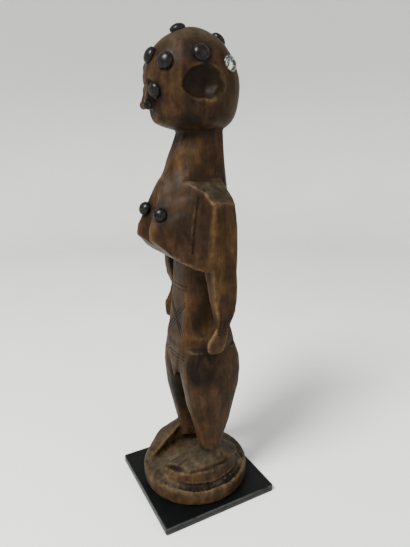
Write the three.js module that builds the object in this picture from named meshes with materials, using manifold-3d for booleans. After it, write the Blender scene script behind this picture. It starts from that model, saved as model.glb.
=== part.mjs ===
// A carved wooden figure of a standing woman on a round foot, studded with domed tacks,
// on a thin square plate. Millimetres, +Z up. She faces -Y, so her left side is +X.
// The origin is under the middle of the plate.
import * as THREE from 'three';
import { mergeVertices } from 'three/addons/utils/BufferGeometryUtils.js';
import Module from 'manifold-3d';

const wasm = await Module();
wasm.setup();

// Driving sizes. Heights of the figure are measured from the underside of its round foot.
const CONTACT_GAP = 0.3;
const PLATE_SIDE = 100;
const PLATE_THICKNESS = 6;
const PLATE_BEVEL = 0.5;
const FOOT_RADIUS = 45.3;
const FOOT_RIM = 15;
const FOOT_SEGMENTS = 48;
const TACK_RADIUS = 5.6;
const TACK_RISE = 3.5;
const NIPPLE_TACK_RADIUS = 5;
const NOSTRIL_NAIL_RADIUS = 3;
const NOSTRIL_NAIL_RISE = 1.1;
const SHANK_RADIUS = 1;
const SHANK_LENGTH = 7;
const NOSTRIL_SHANK_LENGTH = 1.8;
const NAIL_HOLE_RADIUS = 1.6;
const TACK_SIDES = 12;

const WOOD = { color: 0x5a3d28, roughness: 0.5, metalness: 0 };
const IRON = { color: 0x1d1c1e, roughness: 0.38, metalness: 0.7 };
const WORN_IRON = { color: 0x9a9a96, roughness: 0.35, metalness: 0.9 };
const BLACK = { color: 0x111213, roughness: 0.55, metalness: 0.1 };

// Closed bodies from rings of points, and joins and cuts of closed bodies.

function closedGeometry(points, faces) {
  const geometry = new THREE.BufferGeometry();
  geometry.setAttribute('position', new THREE.Float32BufferAttribute(points.flat(), 3));
  geometry.setIndex(faces);
  return geometry;
}

function middle(ring) {
  const sum = [0, 0, 0];
  for (const point of ring) {
    for (let axis = 0; axis < 3; axis++) sum[axis] += point[axis] / ring.length;
  }
  return sum;
}

// Rings run anticlockwise seen from above and follow each other upwards.
function loft(rings) {
  const count = rings[0].length;
  const points = [...rings.flat(), middle(rings[0]), middle(rings[rings.length - 1])];
  const bottom = points.length - 2;
  const top = points.length - 1;
  const last = (rings.length - 1) * count;
  const faces = [];
  for (let i = 0; i < count; i++) {
    const next = (i + 1) % count;
    for (let row = 0; row < last; row += count) {
      faces.push(row + i, row + next, row + next + count);
      faces.push(row + i, row + next + count, row + i + count);
    }
    faces.push(bottom, next, i, top, last + i, last + next);
  }
  return closedGeometry(points, faces);
}

function solid(geometry) {
  const bare = geometry.clone();
  bare.deleteAttribute('normal');
  bare.deleteAttribute('uv');
  const merged = mergeVertices(bare, 1e-4);
  return new wasm.Manifold(new wasm.Mesh({
    numProp: 3,
    vertProperties: new Float32Array(merged.attributes.position.array),
    triVerts: new Uint32Array(merged.index.array),
  }));
}

function geometryOf(body) {
  const mesh = body.getMesh();
  const geometry = new THREE.BufferGeometry();
  geometry.setAttribute('position', new THREE.BufferAttribute(mesh.vertProperties, 3));
  geometry.setIndex(new THREE.BufferAttribute(mesh.triVerts, 1));
  return geometry;
}

function union(bodies) {
  return bodies.reduce((whole, body) => whole.add(body));
}

// Each corner of a ring is [x, y, z]. It is rounded by a short curve of a few points.
function roundedRing(corners, radius, steps = 2) {
  const ring = [];
  corners.forEach((corner, i) => {
    const tip = new THREE.Vector3(...corner);
    const before = new THREE.Vector3(...corners.at(i - 1));
    const after = new THREE.Vector3(...corners[(i + 1) % corners.length]);
    const cutBefore = Math.min(radius, tip.distanceTo(before) * 0.45);
    const cutAfter = Math.min(radius, tip.distanceTo(after) * 0.45);
    const start = tip.clone().add(before.sub(tip).setLength(cutBefore));
    const end = tip.clone().add(after.sub(tip).setLength(cutAfter));
    const bend = new THREE.QuadraticBezierCurve3(start, tip, end);
    ring.push(...bend.getPoints(steps).map((point) => point.toArray()));
  });
  return ring;
}

// The right half of a ring is the left half seen in a mirror.
function mirroredRing(half, radius) {
  const other = half.filter(([x]) => x > 0).reverse().map(([x, y, z]) => [-x, y, z]);
  return roundedRing([...half, ...other], radius);
}

function mirroredBody(ringsOfLeft) {
  return ringsOfLeft.map((ring) => ring.map(([x, y, z]) => [-x, y, z]).reverse());
}

// A rounded oblong: power 1 is an ellipse, smaller is squarer and larger is more pointed.
function oblongRing({ z, x, y, across, front, back, power = 0.8, frontPower = power }, count = 32) {
  return Array.from({ length: count }, (_, i) => {
    const angle = (2 * Math.PI * i) / count;
    const forwards = Math.sin(angle) < 0;
    const bulge = (value) => Math.sign(value) * Math.abs(value) ** (forwards ? frontPower : power);
    const depth = forwards ? y - front : back - y;
    return [x + across * bulge(Math.cos(angle)), y + depth * bulge(Math.sin(angle)), z];
  });
}

// A slab with its outline given as [y, z] pairs, reaching half the width to each side.
function slabAcross(outline, halfWidth) {
  const shape = new THREE.Shape(outline.map(([y, z]) => new THREE.Vector2(y, z)));
  const slab = new THREE.ExtrudeGeometry(shape, { depth: 2 * halfWidth, bevelEnabled: false });
  slab.rotateX(Math.PI / 2).rotateZ(Math.PI / 2).translate(-halfWidth, 0, 0);
  return slab;
}

// The round foot under the figure: a turned disc with a low mound on top.
function roundFoot() {
  const profile = new THREE.Path()
    .moveTo(0, 0)
    .lineTo(FOOT_RADIUS - 1.4, 0)
    .lineTo(FOOT_RADIUS, 2.4)
    .lineTo(FOOT_RADIUS, FOOT_RIM - 3)
    .quadraticCurveTo(FOOT_RADIUS - 0.2, FOOT_RIM - 0.5, FOOT_RADIUS - 3, FOOT_RIM)
    .quadraticCurveTo(22, FOOT_RIM + 2, 0, FOOT_RIM + 8);
  const disc = new THREE.LatheGeometry(profile.getPoints(2), FOOT_SEGMENTS);
  return disc.rotateX(Math.PI / 2);
}

// A cylinder that keeps what is carved on the round foot inside a radius.
function within(radius) {
  const limit = new THREE.CylinderGeometry(radius, radius, 60, FOOT_SEGMENTS);
  return solid(limit.rotateX(Math.PI / 2).translate(0, 0, 30));
}

// The carved feet are slabs that follow the edge of the round foot. A crease runs from
// the toe to the outer edge, and the slab is cut down in front of it. Their middle lies
// a little to the right of the plate's. The right one slopes down by innerDrop on its inner side.
const LEFT_SOLE = {
  side: 1, radius: 37, toe: [3.5, -31], crease: [25.5, -25], toeBend: [23, -37],
  instep: [8, -10], heel: [9.5, 27], ankle: [17.6, 6.4], innerDrop: 0,
};
const RIGHT_SOLE = {
  side: -1, radius: 41, toe: [11.5, -36], crease: [32.5, -23.5], toeBend: [24, -40],
  instep: [20, -10], heel: [16, 28], ankle: [24.2, 6.4], innerDrop: 4.5,
};
const TOE_HEIGHT = 19;
const EDGE_HEIGHT = 26;
const CREASE_HEIGHT = 25;
const ANKLE_HEIGHT = 36;
const ANKLE_REACH = 10.5;
const BAND_WIDTH = 4;
const BAND_RISE = 1.4;
const CHANNEL_WIDTH = 2.6;
const RIM_WIDTH = 2.2;
const SOLE_POINTS = 34;

// The outline of a sole, grown on its outer side and moved inwards on its inner side.
function soleOutline(sole, grow, inset) {
  const { radius, toe, toeBend, instep, heel, crease } = sole;
  const heelAngle = Math.atan2(heel[1], heel[0] + 9);
  const toeAngle = Math.atan2(crease[1], crease[0]) + 0.06;
  const outer = radius + grow;
  const heelX = heel[0] + inset;
  const path = new THREE.Path()
    .moveTo(heelX, heel[1])
    .lineTo(instep[0] + inset, instep[1])
    .lineTo(toe[0] - grow * 0.6, toe[1] - grow * 0.6)
    .quadraticCurveTo(toeBend[0], toeBend[1] - grow, outer * Math.cos(toeAngle), outer * Math.sin(toeAngle))
    .absarc(0, 0, outer, toeAngle, heelAngle)
    .quadraticCurveTo(heel[0] + 5, heel[1] + 6 + grow, heelX, heel[1]);
  return path.getSpacedPoints(SOLE_POINTS).slice(0, -1);
}

function soleRing(sole, grow, height, inset = 0) {
  return soleOutline(sole, grow, inset).map(({ x, y }) => [x, y, height(x, y)]);
}

function carvedSole(sole) {
  const { instep, innerDrop } = sole;
  const edge = soleRing(sole, 0, (x, y) => {
    const rise = THREE.MathUtils.smoothstep(y, -33, -16);
    const inner = 1 - THREE.MathUtils.smoothstep(x, instep[0], instep[0] + 12);
    return THREE.MathUtils.lerp(TOE_HEIGHT, EDGE_HEIGHT - innerDrop * inner, rise);
  });
  const toe = new THREE.Vector2(...sole.toe);
  const line = new THREE.Vector2(...sole.crease).sub(toe);
  const forward = new THREE.Vector2(line.y, -line.x).normalize();
  const creased = edge.map(([x, y, z]) => {
    const place = new THREE.Vector2(x, y).sub(toe);
    const past = place.dot(forward);
    if (past < 0.3 || y > -15) return [x * 0.985, y * 0.985, z + 0.3];
    const along = THREE.MathUtils.clamp(place.dot(line) / line.lengthSq(), 0, 1);
    const height = THREE.MathUtils.lerp(TOE_HEIGHT + 1.5, CREASE_HEIGHT, along);
    return [x - forward.x * past, y - forward.y * past, height];
  });
  const towardsAnkle = (share, height) => creased.map(([x, y, z]) => {
    const reach = new THREE.Vector2(x - sole.ankle[0], y - sole.ankle[1]);
    const near = reach.clone().clampLength(0, ANKLE_REACH).lerp(reach, 1 - share);
    return [sole.ankle[0] + near.x, sole.ankle[1] + near.y, z + (ANKLE_HEIGHT - z) * height];
  });
  return [
    soleRing(sole, 1.2, () => FOOT_RIM - 7),
    soleRing(sole, 1.2, () => FOOT_RIM + 1.5),
    edge,
    creased,
    towardsAnkle(0.5, 0.5),
    towardsAnkle(1, 1),
  ];
}

// A band stands round the outer side of each sole, and a channel runs outside the band.
function footing() {
  const slab = (grow, inset, bottom, top) => union([LEFT_SOLE, RIGHT_SOLE].map((sole) => (
    bySide(sole, [bottom, top].map((z) => soleRing(sole, grow, () => z, inset))))));
  const channels = slab(BAND_WIDTH + CHANNEL_WIDTH, 2, FOOT_RIM - 1.4, 60)
    .subtract(slab(BAND_WIDTH, -4, 0, 70));
  const bands = slab(BAND_WIDTH, 2, FOOT_RIM - 4, FOOT_RIM + BAND_RISE);
  const feet = union([LEFT_SOLE, RIGHT_SOLE].map((sole) => bySide(sole, carvedSole(sole))));
  return solid(roundFoot())
    .subtract(channels.intersect(within(FOOT_RADIUS - RIM_WIDTH)))
    .add(bands.intersect(within(FOOT_RADIUS - RIM_WIDTH)))
    .add(feet.intersect(within(FOOT_RADIUS)));
}

function bySide(sole, rings) {
  return solid(loft(sole.side > 0 ? rings : mirroredBody(rings)));
}

// Legs: slim at the ankle and deep at the thigh. Each row is one height.
const LEG = [
  { z: 26, x: 16.8, y: 6.2, across: 10.4, front: -4, back: 15 },
  { z: 38, x: 17, y: 6.2, across: 10.2, front: -3.6, back: 14.4 },
  { z: 48, x: 17.4, y: 6.2, across: 10.8, front: -6, back: 17.4 },
  { z: 60, x: 17.6, y: 6.6, across: 12, front: -9, back: 22.2 },
  { z: 77, x: 17.2, y: 7, across: 13.8, front: -13.4, back: 27 },
  { z: 92, x: 16.8, y: 8, across: 15.2, front: -15.8, back: 31.4 },
  { z: 104, x: 16.3, y: 8.5, across: 15.6, front: -17.6, back: 33.2 },
  { z: 116, x: 15.8, y: 9, across: 15.4, front: -16.6, back: 32.4 },
  { z: 127, x: 15, y: 9, across: 14, front: -15, back: 29 },
];
const LEAN_AT_ANKLE = -3.6;
const SPREAD_AT_ANKLE = 3.6;
const LEAN_TOP = 104;
const LEAN_BOTTOM = 38;

function leg(side) {
  const rings = LEG.map((row) => (
    oblongRing({ ...row, x: row.x + SPREAD_AT_ANKLE * lean(row.z), power: 0.78 }, 24)));
  const placed = side > 0 ? rings : mirroredBody(rings);
  return solid(loft(placed.map((ring) => ring.map(([x, y, z]) => [x + LEAN_AT_ANKLE * lean(z), y, z]))));
}

// The legs lean to her right as they go down, and nothing leans above the thigh.
function lean(z) {
  return THREE.MathUtils.clamp((LEAN_TOP - z) / (LEAN_TOP - LEAN_BOTTOM), 0, 1);
}

// Hips, waist and belly: a flat front panel, sloping flanks and a rounded back.
const TRUNK = [
  { z: 103, front: -15.2, frontHalf: 16, side: 30, sideY: 9, backHalf: 18, back: 32, cleft: 3 },
  { z: 112, front: -16.4, frontHalf: 17, side: 31, sideY: 9, backHalf: 18, back: 32.2, cleft: 3 },
  { z: 122, front: -16.7, frontHalf: 18, side: 31, sideY: 8, backHalf: 18, back: 31, cleft: 2 },
  { z: 131, front: -16, frontHalf: 18, side: 31, sideY: 6, backHalf: 17, back: 30, cleft: 1 },
  { z: 136, front: -15.5, frontHalf: 17, side: 28.4, sideY: 5, backHalf: 16.5, back: 29, cleft: 0.4 },
  { z: 139.5, front: -14.9, frontHalf: 16.4, side: 25, sideY: 5, backHalf: 16, back: 28, cleft: 0 },
  { z: 144, front: -14.2, frontHalf: 16, side: 21.8, sideY: 5.4, backHalf: 15.4, back: 26.8, cleft: 0 },
  { z: 150, front: -13.4, frontHalf: 15.5, side: 20.5, sideY: 6, backHalf: 14.5, back: 25.6, cleft: 0 },
  { z: 168, front: -11.8, frontHalf: 14, side: 20, sideY: 6, backHalf: 13.5, back: 24.4, cleft: 0 },
  { z: 185, front: -10.6, frontHalf: 13, side: 21, sideY: 6, backHalf: 14, back: 25, cleft: 0 },
  { z: 204, front: -10, frontHalf: 12.5, side: 23, sideY: 6, backHalf: 15, back: 27, cleft: 0 },
];

function trunk() {
  return solid(loft(TRUNK.map((row) => mirroredRing([
    [0, row.front - 0.5, row.z],
    [row.frontHalf, row.front, row.z],
    [row.side, row.sideY, row.z],
    [row.side - 2, row.sideY + 9, row.z],
    [row.backHalf, row.back, row.z],
    [0, row.back - row.cleft, row.z],
  ], 3.4))));
}

// The apron hangs over the meeting of the thighs and comes to a point.
const APRON_TOP = 127;
const APRON_TIP = 98.5;
const APRON_HALF_WIDTH = 12.5;

function apron() {
  const ring = (z, half, front) => mirroredRing([
    [0, front - 0.5, z], [half, front, z], [half, -6, z], [0, -6, z],
  ], 0.8);
  return solid(loft([
    ring(APRON_TIP, 1.2, -17.6),
    ring((APRON_TIP + APRON_TOP) / 2, APRON_HALF_WIDTH * 0.5, -18.4),
    ring(APRON_TOP, APRON_HALF_WIDTH, -17.2),
    ring(APRON_TOP + 5, APRON_HALF_WIDTH, -14),
  ]));
}

// The chest is a wedge between two shoulder blocks. On each side a ridge runs from the
// neck down to the blunt tip of the breast, and a stepped groove parts the breast from the block.
// These are straight lines, each given by two points, and the faces between them are ruled.
const SHOULDER_OUT = 44.5;
const STERNUM = [[0, -25, 258], [0, -28.6, 219]];
const RIDGE = [[6.4, -23.4, 258], [13.5, -41.6, 219]];
const GROOVE = [[27.4, -6.2, 255], [34.6, -17, 206]];
const GROOVE_FOOT = [[28.4, -3.6, 255], [35.6, -14, 206]];
const SHOULDER_FRONT = [[SHOULDER_OUT, -2.6, 255], [SHOULDER_OUT, -4, 206]];
const BREAST_FRONT = -39.6;
const BLADE_X = 24;
const CHEST_BACK = [
  { z: 190, back: 15.6, blade: 24, spine: 27.4 },
  { z: 200, back: 15.6, blade: 24.6, spine: 28 },
  { z: 219, back: 15.5, blade: 25.4, spine: 29.2 },
  { z: 225, back: 15.3, blade: 25.4, spine: 29.4 },
  { z: 236, back: 14.4, blade: 23, spine: 27.6 },
  { z: 247, back: 13, blade: 19, spine: 25 },
  { z: 258, back: 11.4, blade: 15.4, spine: 22.8 },
];
const COLLAR_HEIGHT = 269;
const COLLAR = [[0, -15], [7, -14.6], [12.6, -6], [14.4, -3.4], [16, -1], [16, 9], [10, 14], [0, 16]];

function pointAt([upper, lower], z) {
  const share = (z - lower[2]) / (upper[2] - lower[2]);
  return [lower[0] + (upper[0] - lower[0]) * share, lower[1] + (upper[1] - lower[1]) * share, z];
}

// The collar lies inside the neck, so that the flanks run up into it.
function chestBlock() {
  const rows = CHEST_BACK.map(({ z, back, blade, spine }) => {
    const ridge = pointAt(RIDGE, z);
    return [
      pointAt(STERNUM, z),
      [ridge[0], Math.max(ridge[1], BREAST_FRONT), z],
      pointAt(GROOVE, z),
      pointAt(GROOVE_FOOT, z),
      pointAt(SHOULDER_FRONT, z),
      [SHOULDER_OUT, back, z],
      [BLADE_X, blade, z],
      [0, spine, z],
    ];
  });
  rows.push(COLLAR.map(([x, y]) => [x, y, COLLAR_HEIGHT]));
  return solid(loft(rows.map((row) => mirroredRing(row, 1.4))));
}

// The tops of the shoulders are one slope on each side, falling away from the neck.
const ROOF_EDGE = 242.6;
const ROOF_SLOPE = 0.58;
const ROOF_INNER = 17;

function overRoof(side) {
  const height = (x) => ROOF_EDGE + (SHOULDER_OUT - x) * ROOF_SLOPE;
  const outline = [[ROOF_INNER, height(ROOF_INNER)], [60, height(60)], [60, 290], [ROOF_INNER, 290]]
    .map(([x, z]) => new THREE.Vector2(side * x, z));
  const wedge = new THREE.ExtrudeGeometry(new THREE.Shape(outline), { depth: 120, bevelEnabled: false });
  return solid(wedge.rotateX(Math.PI / 2).translate(0, 60, 0));
}

// The underside of the chest climbs from the arms to the tips of the breasts.
const CHEST_UNDERSIDE = [
  [-60, 186], [34, 186], [34, 194.4], [-8, 195.2], [-15, 197.6], [-20, 200.4],
  [-26, 204.8], [-31.5, 210.6], [-36, 214.6], [-40, 217.2], [-60, 223],
];

function chest() {
  const below = solid(slabAcross(CHEST_UNDERSIDE, 60));
  return chestBlock().subtract(below).subtract(overRoof(1)).subtract(overRoof(-1));
}

// The neck widens forwards into the chest. Its sides are flat.
const NECK = [
  { z: 238, front: -29, frontHalf: 7, sideFront: -15, sideBack: 21, back: 29.4 },
  { z: 250, front: -26.6, frontHalf: 6.8, sideFront: -12, sideBack: 21, back: 28.6 },
  { z: 259, front: -22.6, frontHalf: 6.8, sideFront: -8.6, sideBack: 20.8, back: 27.2 },
  { z: 269, front: -17, frontHalf: 7.8, sideFront: -4.6, sideBack: 20.2, back: 26 },
  { z: 282, front: -10.4, frontHalf: 9, sideFront: 0.4, sideBack: 19.4, back: 25 },
  { z: 291, front: -6.8, frontHalf: 9.5, sideFront: 2.4, sideBack: 18.8, back: 24.4 },
  { z: 300, front: -6, frontHalf: 9.5, sideFront: 3, sideBack: 18.6, back: 24 },
];
const NECK_HALF_WIDTH = 17.4;

function neck() {
  return solid(loft(NECK.map(({ z, front, frontHalf, sideFront, sideBack, back }) => mirroredRing([
    [0, front - 0.4, z],
    [frontHalf, front, z],
    [NECK_HALF_WIDTH, sideFront, z],
    [NECK_HALF_WIDTH, sideBack, z],
    [11.5, back - 1.6, z],
    [0, back, z],
  ], 2.6))));
}

// Arms hang straight, narrow to the wrist and end in mitten hands laid on the hips. The
// right hand is set a little higher than the left: lift is how much, row by row.
const ARM = [
  { z: 129.6, lift: 5, inner: 30, outer: 38.8, frontInner: 0, frontOuter: -3, back: 4.5 },
  { z: 132, lift: 5.4, inner: 30, outer: 40.2, frontInner: -2.2, frontOuter: -7.4, back: 7 },
  { z: 140, lift: 8, inner: 30.8, outer: 40.8, frontInner: -1.6, frontOuter: -7.8, back: 9.4 },
  { z: 148, lift: 10.4, inner: 32.4, outer: 41.6, frontInner: 2, frontOuter: -2, back: 10.8 },
  { z: 154, lift: 11, inner: 33.4, outer: 42.6, frontInner: 1.6, frontOuter: 0.6, back: 12.2 },
  { z: 163, lift: 7, inner: 34, outer: 43.8, frontInner: -1, frontOuter: -1, back: 15.4 },
  { z: 172, lift: 2, inner: 34, outer: 44.4, frontInner: -3, frontOuter: -2.8, back: 16 },
  { z: 182, lift: 0, inner: 33.8, outer: 44.5, frontInner: -4.2, frontOuter: -4, back: 16 },
  { z: 203, lift: 0, inner: 33, outer: 44.5, frontInner: -8.6, frontOuter: -4, back: 15.7 },
];

function arm(side) {
  const rings = ARM.map(({ z, lift, inner, outer, frontInner, frontOuter, back }) => {
    const height = side > 0 ? z : z + lift;
    return roundedRing([
      [inner, frontInner, height],
      [outer, frontOuter, height],
      [outer, back, height],
      [inner, back + 1, height],
    ], 1.5);
  });
  return solid(loft(side > 0 ? rings : mirroredBody(rings)));
}

// The head: an egg with a narrow jaw, cut flat at the face under a heavy brow. Above 1,
// frontPower makes the front half of a row more pointed than an ellipse.
const HEAD = [
  { z: 291.6, front: -6.8, back: 24.6, across: 17.2, frontPower: 1.2 },
  { z: 294.2, front: -18, back: 28.6, across: 22, frontPower: 1.16 },
  { z: 297, front: -25.8, back: 31.6, across: 25.6, frontPower: 1.26 },
  { z: 301, front: -29, back: 34.2, across: 28.2, frontPower: 1.36 },
  { z: 307, front: -30.4, back: 36.4, across: 30.2, frontPower: 1.38 },
  { z: 314, front: -31.6, back: 37.9, across: 31.4, frontPower: 1.28 },
  { z: 321, front: -32.2, back: 38.2, across: 31.6, frontPower: 1.14 },
  { z: 328, front: -31.9, back: 37.4, across: 31, frontPower: 1 },
  { z: 335, front: -30, back: 35.2, across: 29.4, frontPower: 0.95 },
  { z: 342, front: -26.8, back: 31.6, across: 26.8, frontPower: 0.94 },
  { z: 348, front: -22.4, back: 27.2, across: 23.2, frontPower: 0.94 },
  { z: 353, front: -16.8, back: 21.8, across: 18.6, frontPower: 0.94 },
  { z: 357, front: -9.6, back: 15.6, across: 12.6, frontPower: 0.94 },
  { z: 359.2, front: -3, back: 10.4, across: 7, frontPower: 0.94 },
  { z: 359.9, front: 1.6, back: 6, across: 2.4, frontPower: 0.94 },
];
const BROW_HEIGHT = 324.6;
const FACE_TOP_Y = -29.4;
const FACE_BOTTOM_Y = -26.2;

function headShell() {
  return solid(loft(HEAD.map((row) => oblongRing({ ...row, x: 0, y: 3.5, power: 0.94 }, 32))));
}

function faceCut() {
  return solid(slabAcross([
    [-60, 288], [FACE_BOTTOM_Y + 1, 288], [FACE_BOTTOM_Y, 297], [FACE_TOP_Y, BROW_HEIGHT - 1],
    [FACE_TOP_Y - 1, BROW_HEIGHT], [-60, BROW_HEIGHT + 1.5],
  ], 50));
}

const NOSE_BOTTOM = 305.8;

function nose() {
  const ring = (z, front, half) => mirroredRing([
    [0, front, z], [half, front + 0.3, z], [half + 1.1, -21, z], [0, -21, z],
  ], 0.7);
  return solid(loft([
    ring(NOSE_BOTTOM, -35.4, 3.4),
    ring(NOSE_BOTTOM + 3, -35.6, 3.3),
    ring(NOSE_BOTTOM + 12, -33, 2.7),
    ring(BROW_HEIGHT + 3, -30.6, 2.6),
  ]));
}

// Each ear is a raised shell on the side of the head, hollow towards the front.
const EAR_HALF_LENGTH = 15;
const EAR_HALF_HEIGHT = 12.6;
const EAR_THICKNESS = 7;
const EAR_TURN = THREE.MathUtils.degToRad(14);
const EAR_PLACE = [26.6, -0.6, 321.4];

function earShell() {
  const outline = new THREE.Shape().absellipse(0, 0, EAR_HALF_LENGTH - 1, EAR_HALF_HEIGHT - 1, 0, 2 * Math.PI);
  const shell = new THREE.ExtrudeGeometry(outline, {
    depth: EAR_THICKNESS - 1, bevelThickness: 1, bevelSize: 1, bevelSegments: 1, curveSegments: 10,
  });
  return shell.rotateX(Math.PI / 2).rotateZ(Math.PI / 2).translate(-EAR_THICKNESS / 2, 0, 0);
}

function earHollow() {
  const hollow = new THREE.SphereGeometry(1, 16, 8);
  return hollow.scale(6, EAR_HALF_LENGTH - 1.8, EAR_HALF_HEIGHT - 2.2).translate(5, -4.6, 0.4);
}

function placeEar(geometry) {
  return solid(geometry.rotateZ(-EAR_TURN).translate(...EAR_PLACE));
}

function head() {
  const shell = placeEar(earShell());
  const hollow = placeEar(earHollow());
  return union([headShell(), shell, shell.mirror([1, 0, 0])])
    .subtract(hollow)
    .subtract(hollow.mirror([1, 0, 0]))
    .subtract(faceCut())
    .add(nose());
}

// Tacks. Each is driven in towards a point inside the wood. Its direction is given by
// turn, in degrees from straight ahead towards her left, and by lift, in degrees upwards.
// Sink is how much deeper than the others a tack is driven in.
const HEAD_MIDDLE = [0, 3.5, 325];
const NOSTRILS = [0, -32.2, 308.8];
const NOSTRIL_NAIL = { radius: NOSTRIL_NAIL_RADIUS, height: NOSTRIL_NAIL_RISE, shank: NOSTRIL_SHANK_LENGTH };
const TACKS = [
  { name: 'tack_forehead', turn: 0, lift: 26.5 },
  { name: 'tack_temple_left', turn: 32, lift: 17 },
  { name: 'tack_temple_right', turn: -42, lift: 18 },
  { name: 'tack_above_ear_left', turn: 77, lift: 27 },
  { name: 'tack_above_ear_right', turn: -78, lift: 27 },
  { name: 'tack_crown_front', turn: 8, lift: 72 },
  { name: 'tack_crown_back', turn: 160, lift: 55 },
  { name: 'tack_back_worn', turn: 122, lift: 17, finish: WORN_IRON },
  { name: 'tack_eye_left', middle: [8.2, 0, 317.2], turn: 0, lift: 0 },
  { name: 'tack_eye_right', middle: [-8.2, 0, 317.2], turn: 0, lift: 0, sink: 2.2 },
  { name: 'tack_nipple_left', middle: [9.4, -22, 231], turn: 30, lift: 19, radius: NIPPLE_TACK_RADIUS },
  { name: 'tack_nipple_right', middle: [-8.4, -22, 233], turn: -4, lift: 19, radius: NIPPLE_TACK_RADIUS },
  { name: 'nail_nostril_left', middle: NOSTRILS, turn: 90, lift: 0, ...NOSTRIL_NAIL },
  { name: 'nail_nostril_right', middle: NOSTRILS, turn: -90, lift: 0, ...NOSTRIL_NAIL },
];
const EMPTY_HOLES = [
  { turn: 143, lift: -2, radius: 3 },
  { turn: 118, lift: -10, radius: 3 },
];
const OUTSIDE = 120;

function towards({ turn, lift }) {
  const away = new THREE.Vector3(0, -1, 0);
  away.applyAxisAngle(new THREE.Vector3(1, 0, 0), THREE.MathUtils.degToRad(-lift));
  return away.applyAxisAngle(new THREE.Vector3(0, 0, 1), THREE.MathUtils.degToRad(turn));
}

function strike(wood, place, away) {
  const start = place.clone().addScaledVector(away, OUTSIDE);
  return new THREE.Raycaster(start, away.clone().negate()).intersectObject(wood)[0].point;
}

// The seat of a tack is the plane through three points of the wood round its middle.
function seatOf(wood, row) {
  const { middle = HEAD_MIDDLE, radius = TACK_RADIUS, sink = 0 } = row;
  const centre = new THREE.Vector3(...middle);
  const away = towards(row);
  const side = new THREE.Vector3(0, 0, 1).cross(away).normalize();
  const up = away.clone().cross(side);
  const around = [0, 1, 2].map((i) => {
    const angle = (2 * Math.PI * i) / 3;
    const place = centre.clone().addScaledVector(side, radius * 0.5 * Math.cos(angle));
    return strike(wood, place.addScaledVector(up, radius * 0.5 * Math.sin(angle)), away);
  });
  const normal = new THREE.Plane().setFromCoplanarPoints(...around).normal;
  if (normal.dot(away) < 0) normal.negate();
  return { point: strike(wood, centre, away).addScaledVector(normal, -sink), normal };
}

// Turns +Z to the seat's normal and moves the origin to its point.
function seatMatrix({ point, normal }) {
  const turn = new THREE.Quaternion().setFromUnitVectors(new THREE.Vector3(0, 0, 1), normal);
  return new THREE.Matrix4().makeRotationFromQuaternion(turn).setPosition(point);
}

// A domed head on a tapered square shank.
function tack({ radius = TACK_RADIUS, height = TACK_RISE, shank = SHANK_LENGTH }) {
  const profile = new THREE.Path()
    .moveTo(0, CONTACT_GAP)
    .lineTo(radius, CONTACT_GAP)
    .quadraticCurveTo(radius * 0.86, height * 0.98, 0, CONTACT_GAP + height);
  const dome = new THREE.LatheGeometry(profile.getPoints(3), TACK_SIDES).rotateX(Math.PI / 2);
  const spike = new THREE.CylinderGeometry(SHANK_RADIUS * 0.3, SHANK_RADIUS, shank + 1, 4);
  spike.rotateX(-Math.PI / 2).translate(0, 0, CONTACT_GAP + 1 - (shank + 1) / 2);
  return geometryOf(solid(dome).add(solid(spike)));
}

// The wood is cut away under a tack, with room round its head and its shank.
function tackRoom({ radius = TACK_RADIUS, shank = SHANK_LENGTH }) {
  const seat = new THREE.CylinderGeometry(radius + CONTACT_GAP, radius + CONTACT_GAP, 6, TACK_SIDES);
  const hole = new THREE.CylinderGeometry(NAIL_HOLE_RADIUS * 0.5, NAIL_HOLE_RADIUS, shank + 1, 6);
  seat.rotateX(Math.PI / 2).translate(0, 0, 3);
  hole.rotateX(-Math.PI / 2).translate(0, 0, (shank + 1) / 2 - shank - CONTACT_GAP);
  return solid(seat).add(solid(hole));
}

function emptyHole() {
  const hole = new THREE.CylinderGeometry(NAIL_HOLE_RADIUS * 0.5, NAIL_HOLE_RADIUS, 10, 6);
  return solid(hole.rotateX(-Math.PI / 2));
}

// The plate under the round foot.
function plate() {
  const half = PLATE_SIDE / 2 - PLATE_BEVEL;
  const outline = new THREE.Shape().moveTo(-half, -half).lineTo(half, -half)
    .lineTo(half, half).lineTo(-half, half).closePath();
  const body = new THREE.ExtrudeGeometry(outline, {
    depth: PLATE_THICKNESS - 2 * PLATE_BEVEL,
    bevelThickness: PLATE_BEVEL, bevelSize: PLATE_BEVEL, bevelSegments: 1,
  });
  return body.translate(0, 0, PLATE_BEVEL);
}

function named(name, geometry, finish) {
  const mesh = new THREE.Mesh(geometry, new THREE.MeshStandardMaterial(finish));
  mesh.name = name;
  return mesh;
}

const rawFigure = union([
  footing(), leg(1), leg(-1), trunk(), apron(), chest(), arm(1), arm(-1), neck(), head(),
]);
const rawWood = new THREE.Mesh(geometryOf(rawFigure), new THREE.MeshBasicMaterial({ side: THREE.DoubleSide }));
rawWood.updateMatrixWorld();

const figure = new THREE.Group();
figure.position.z = PLATE_THICKNESS + CONTACT_GAP;
let wood = rawFigure;
for (const row of TACKS) {
  const seat = seatMatrix(seatOf(rawWood, row));
  wood = wood.subtract(tackRoom(row).transform(seat.elements));
  figure.add(named(row.name, tack(row).applyMatrix4(seat), row.finish ?? IRON));
}
for (const row of EMPTY_HOLES) {
  const seat = seatMatrix(seatOf(rawWood, row));
  wood = wood.subtract(emptyHole().transform(seat.elements));
}
figure.add(named('carved_figure', geometryOf(wood), WOOD));

const part = new THREE.Group();
part.add(named('display_plate', plate(), BLACK), figure);

export default part;
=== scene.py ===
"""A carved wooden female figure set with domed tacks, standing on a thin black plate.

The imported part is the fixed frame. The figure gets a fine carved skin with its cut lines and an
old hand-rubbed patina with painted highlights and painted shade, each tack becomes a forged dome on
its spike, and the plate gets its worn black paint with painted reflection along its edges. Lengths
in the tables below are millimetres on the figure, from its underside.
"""

import math
from collections import namedtuple
from contextlib import contextmanager

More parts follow.
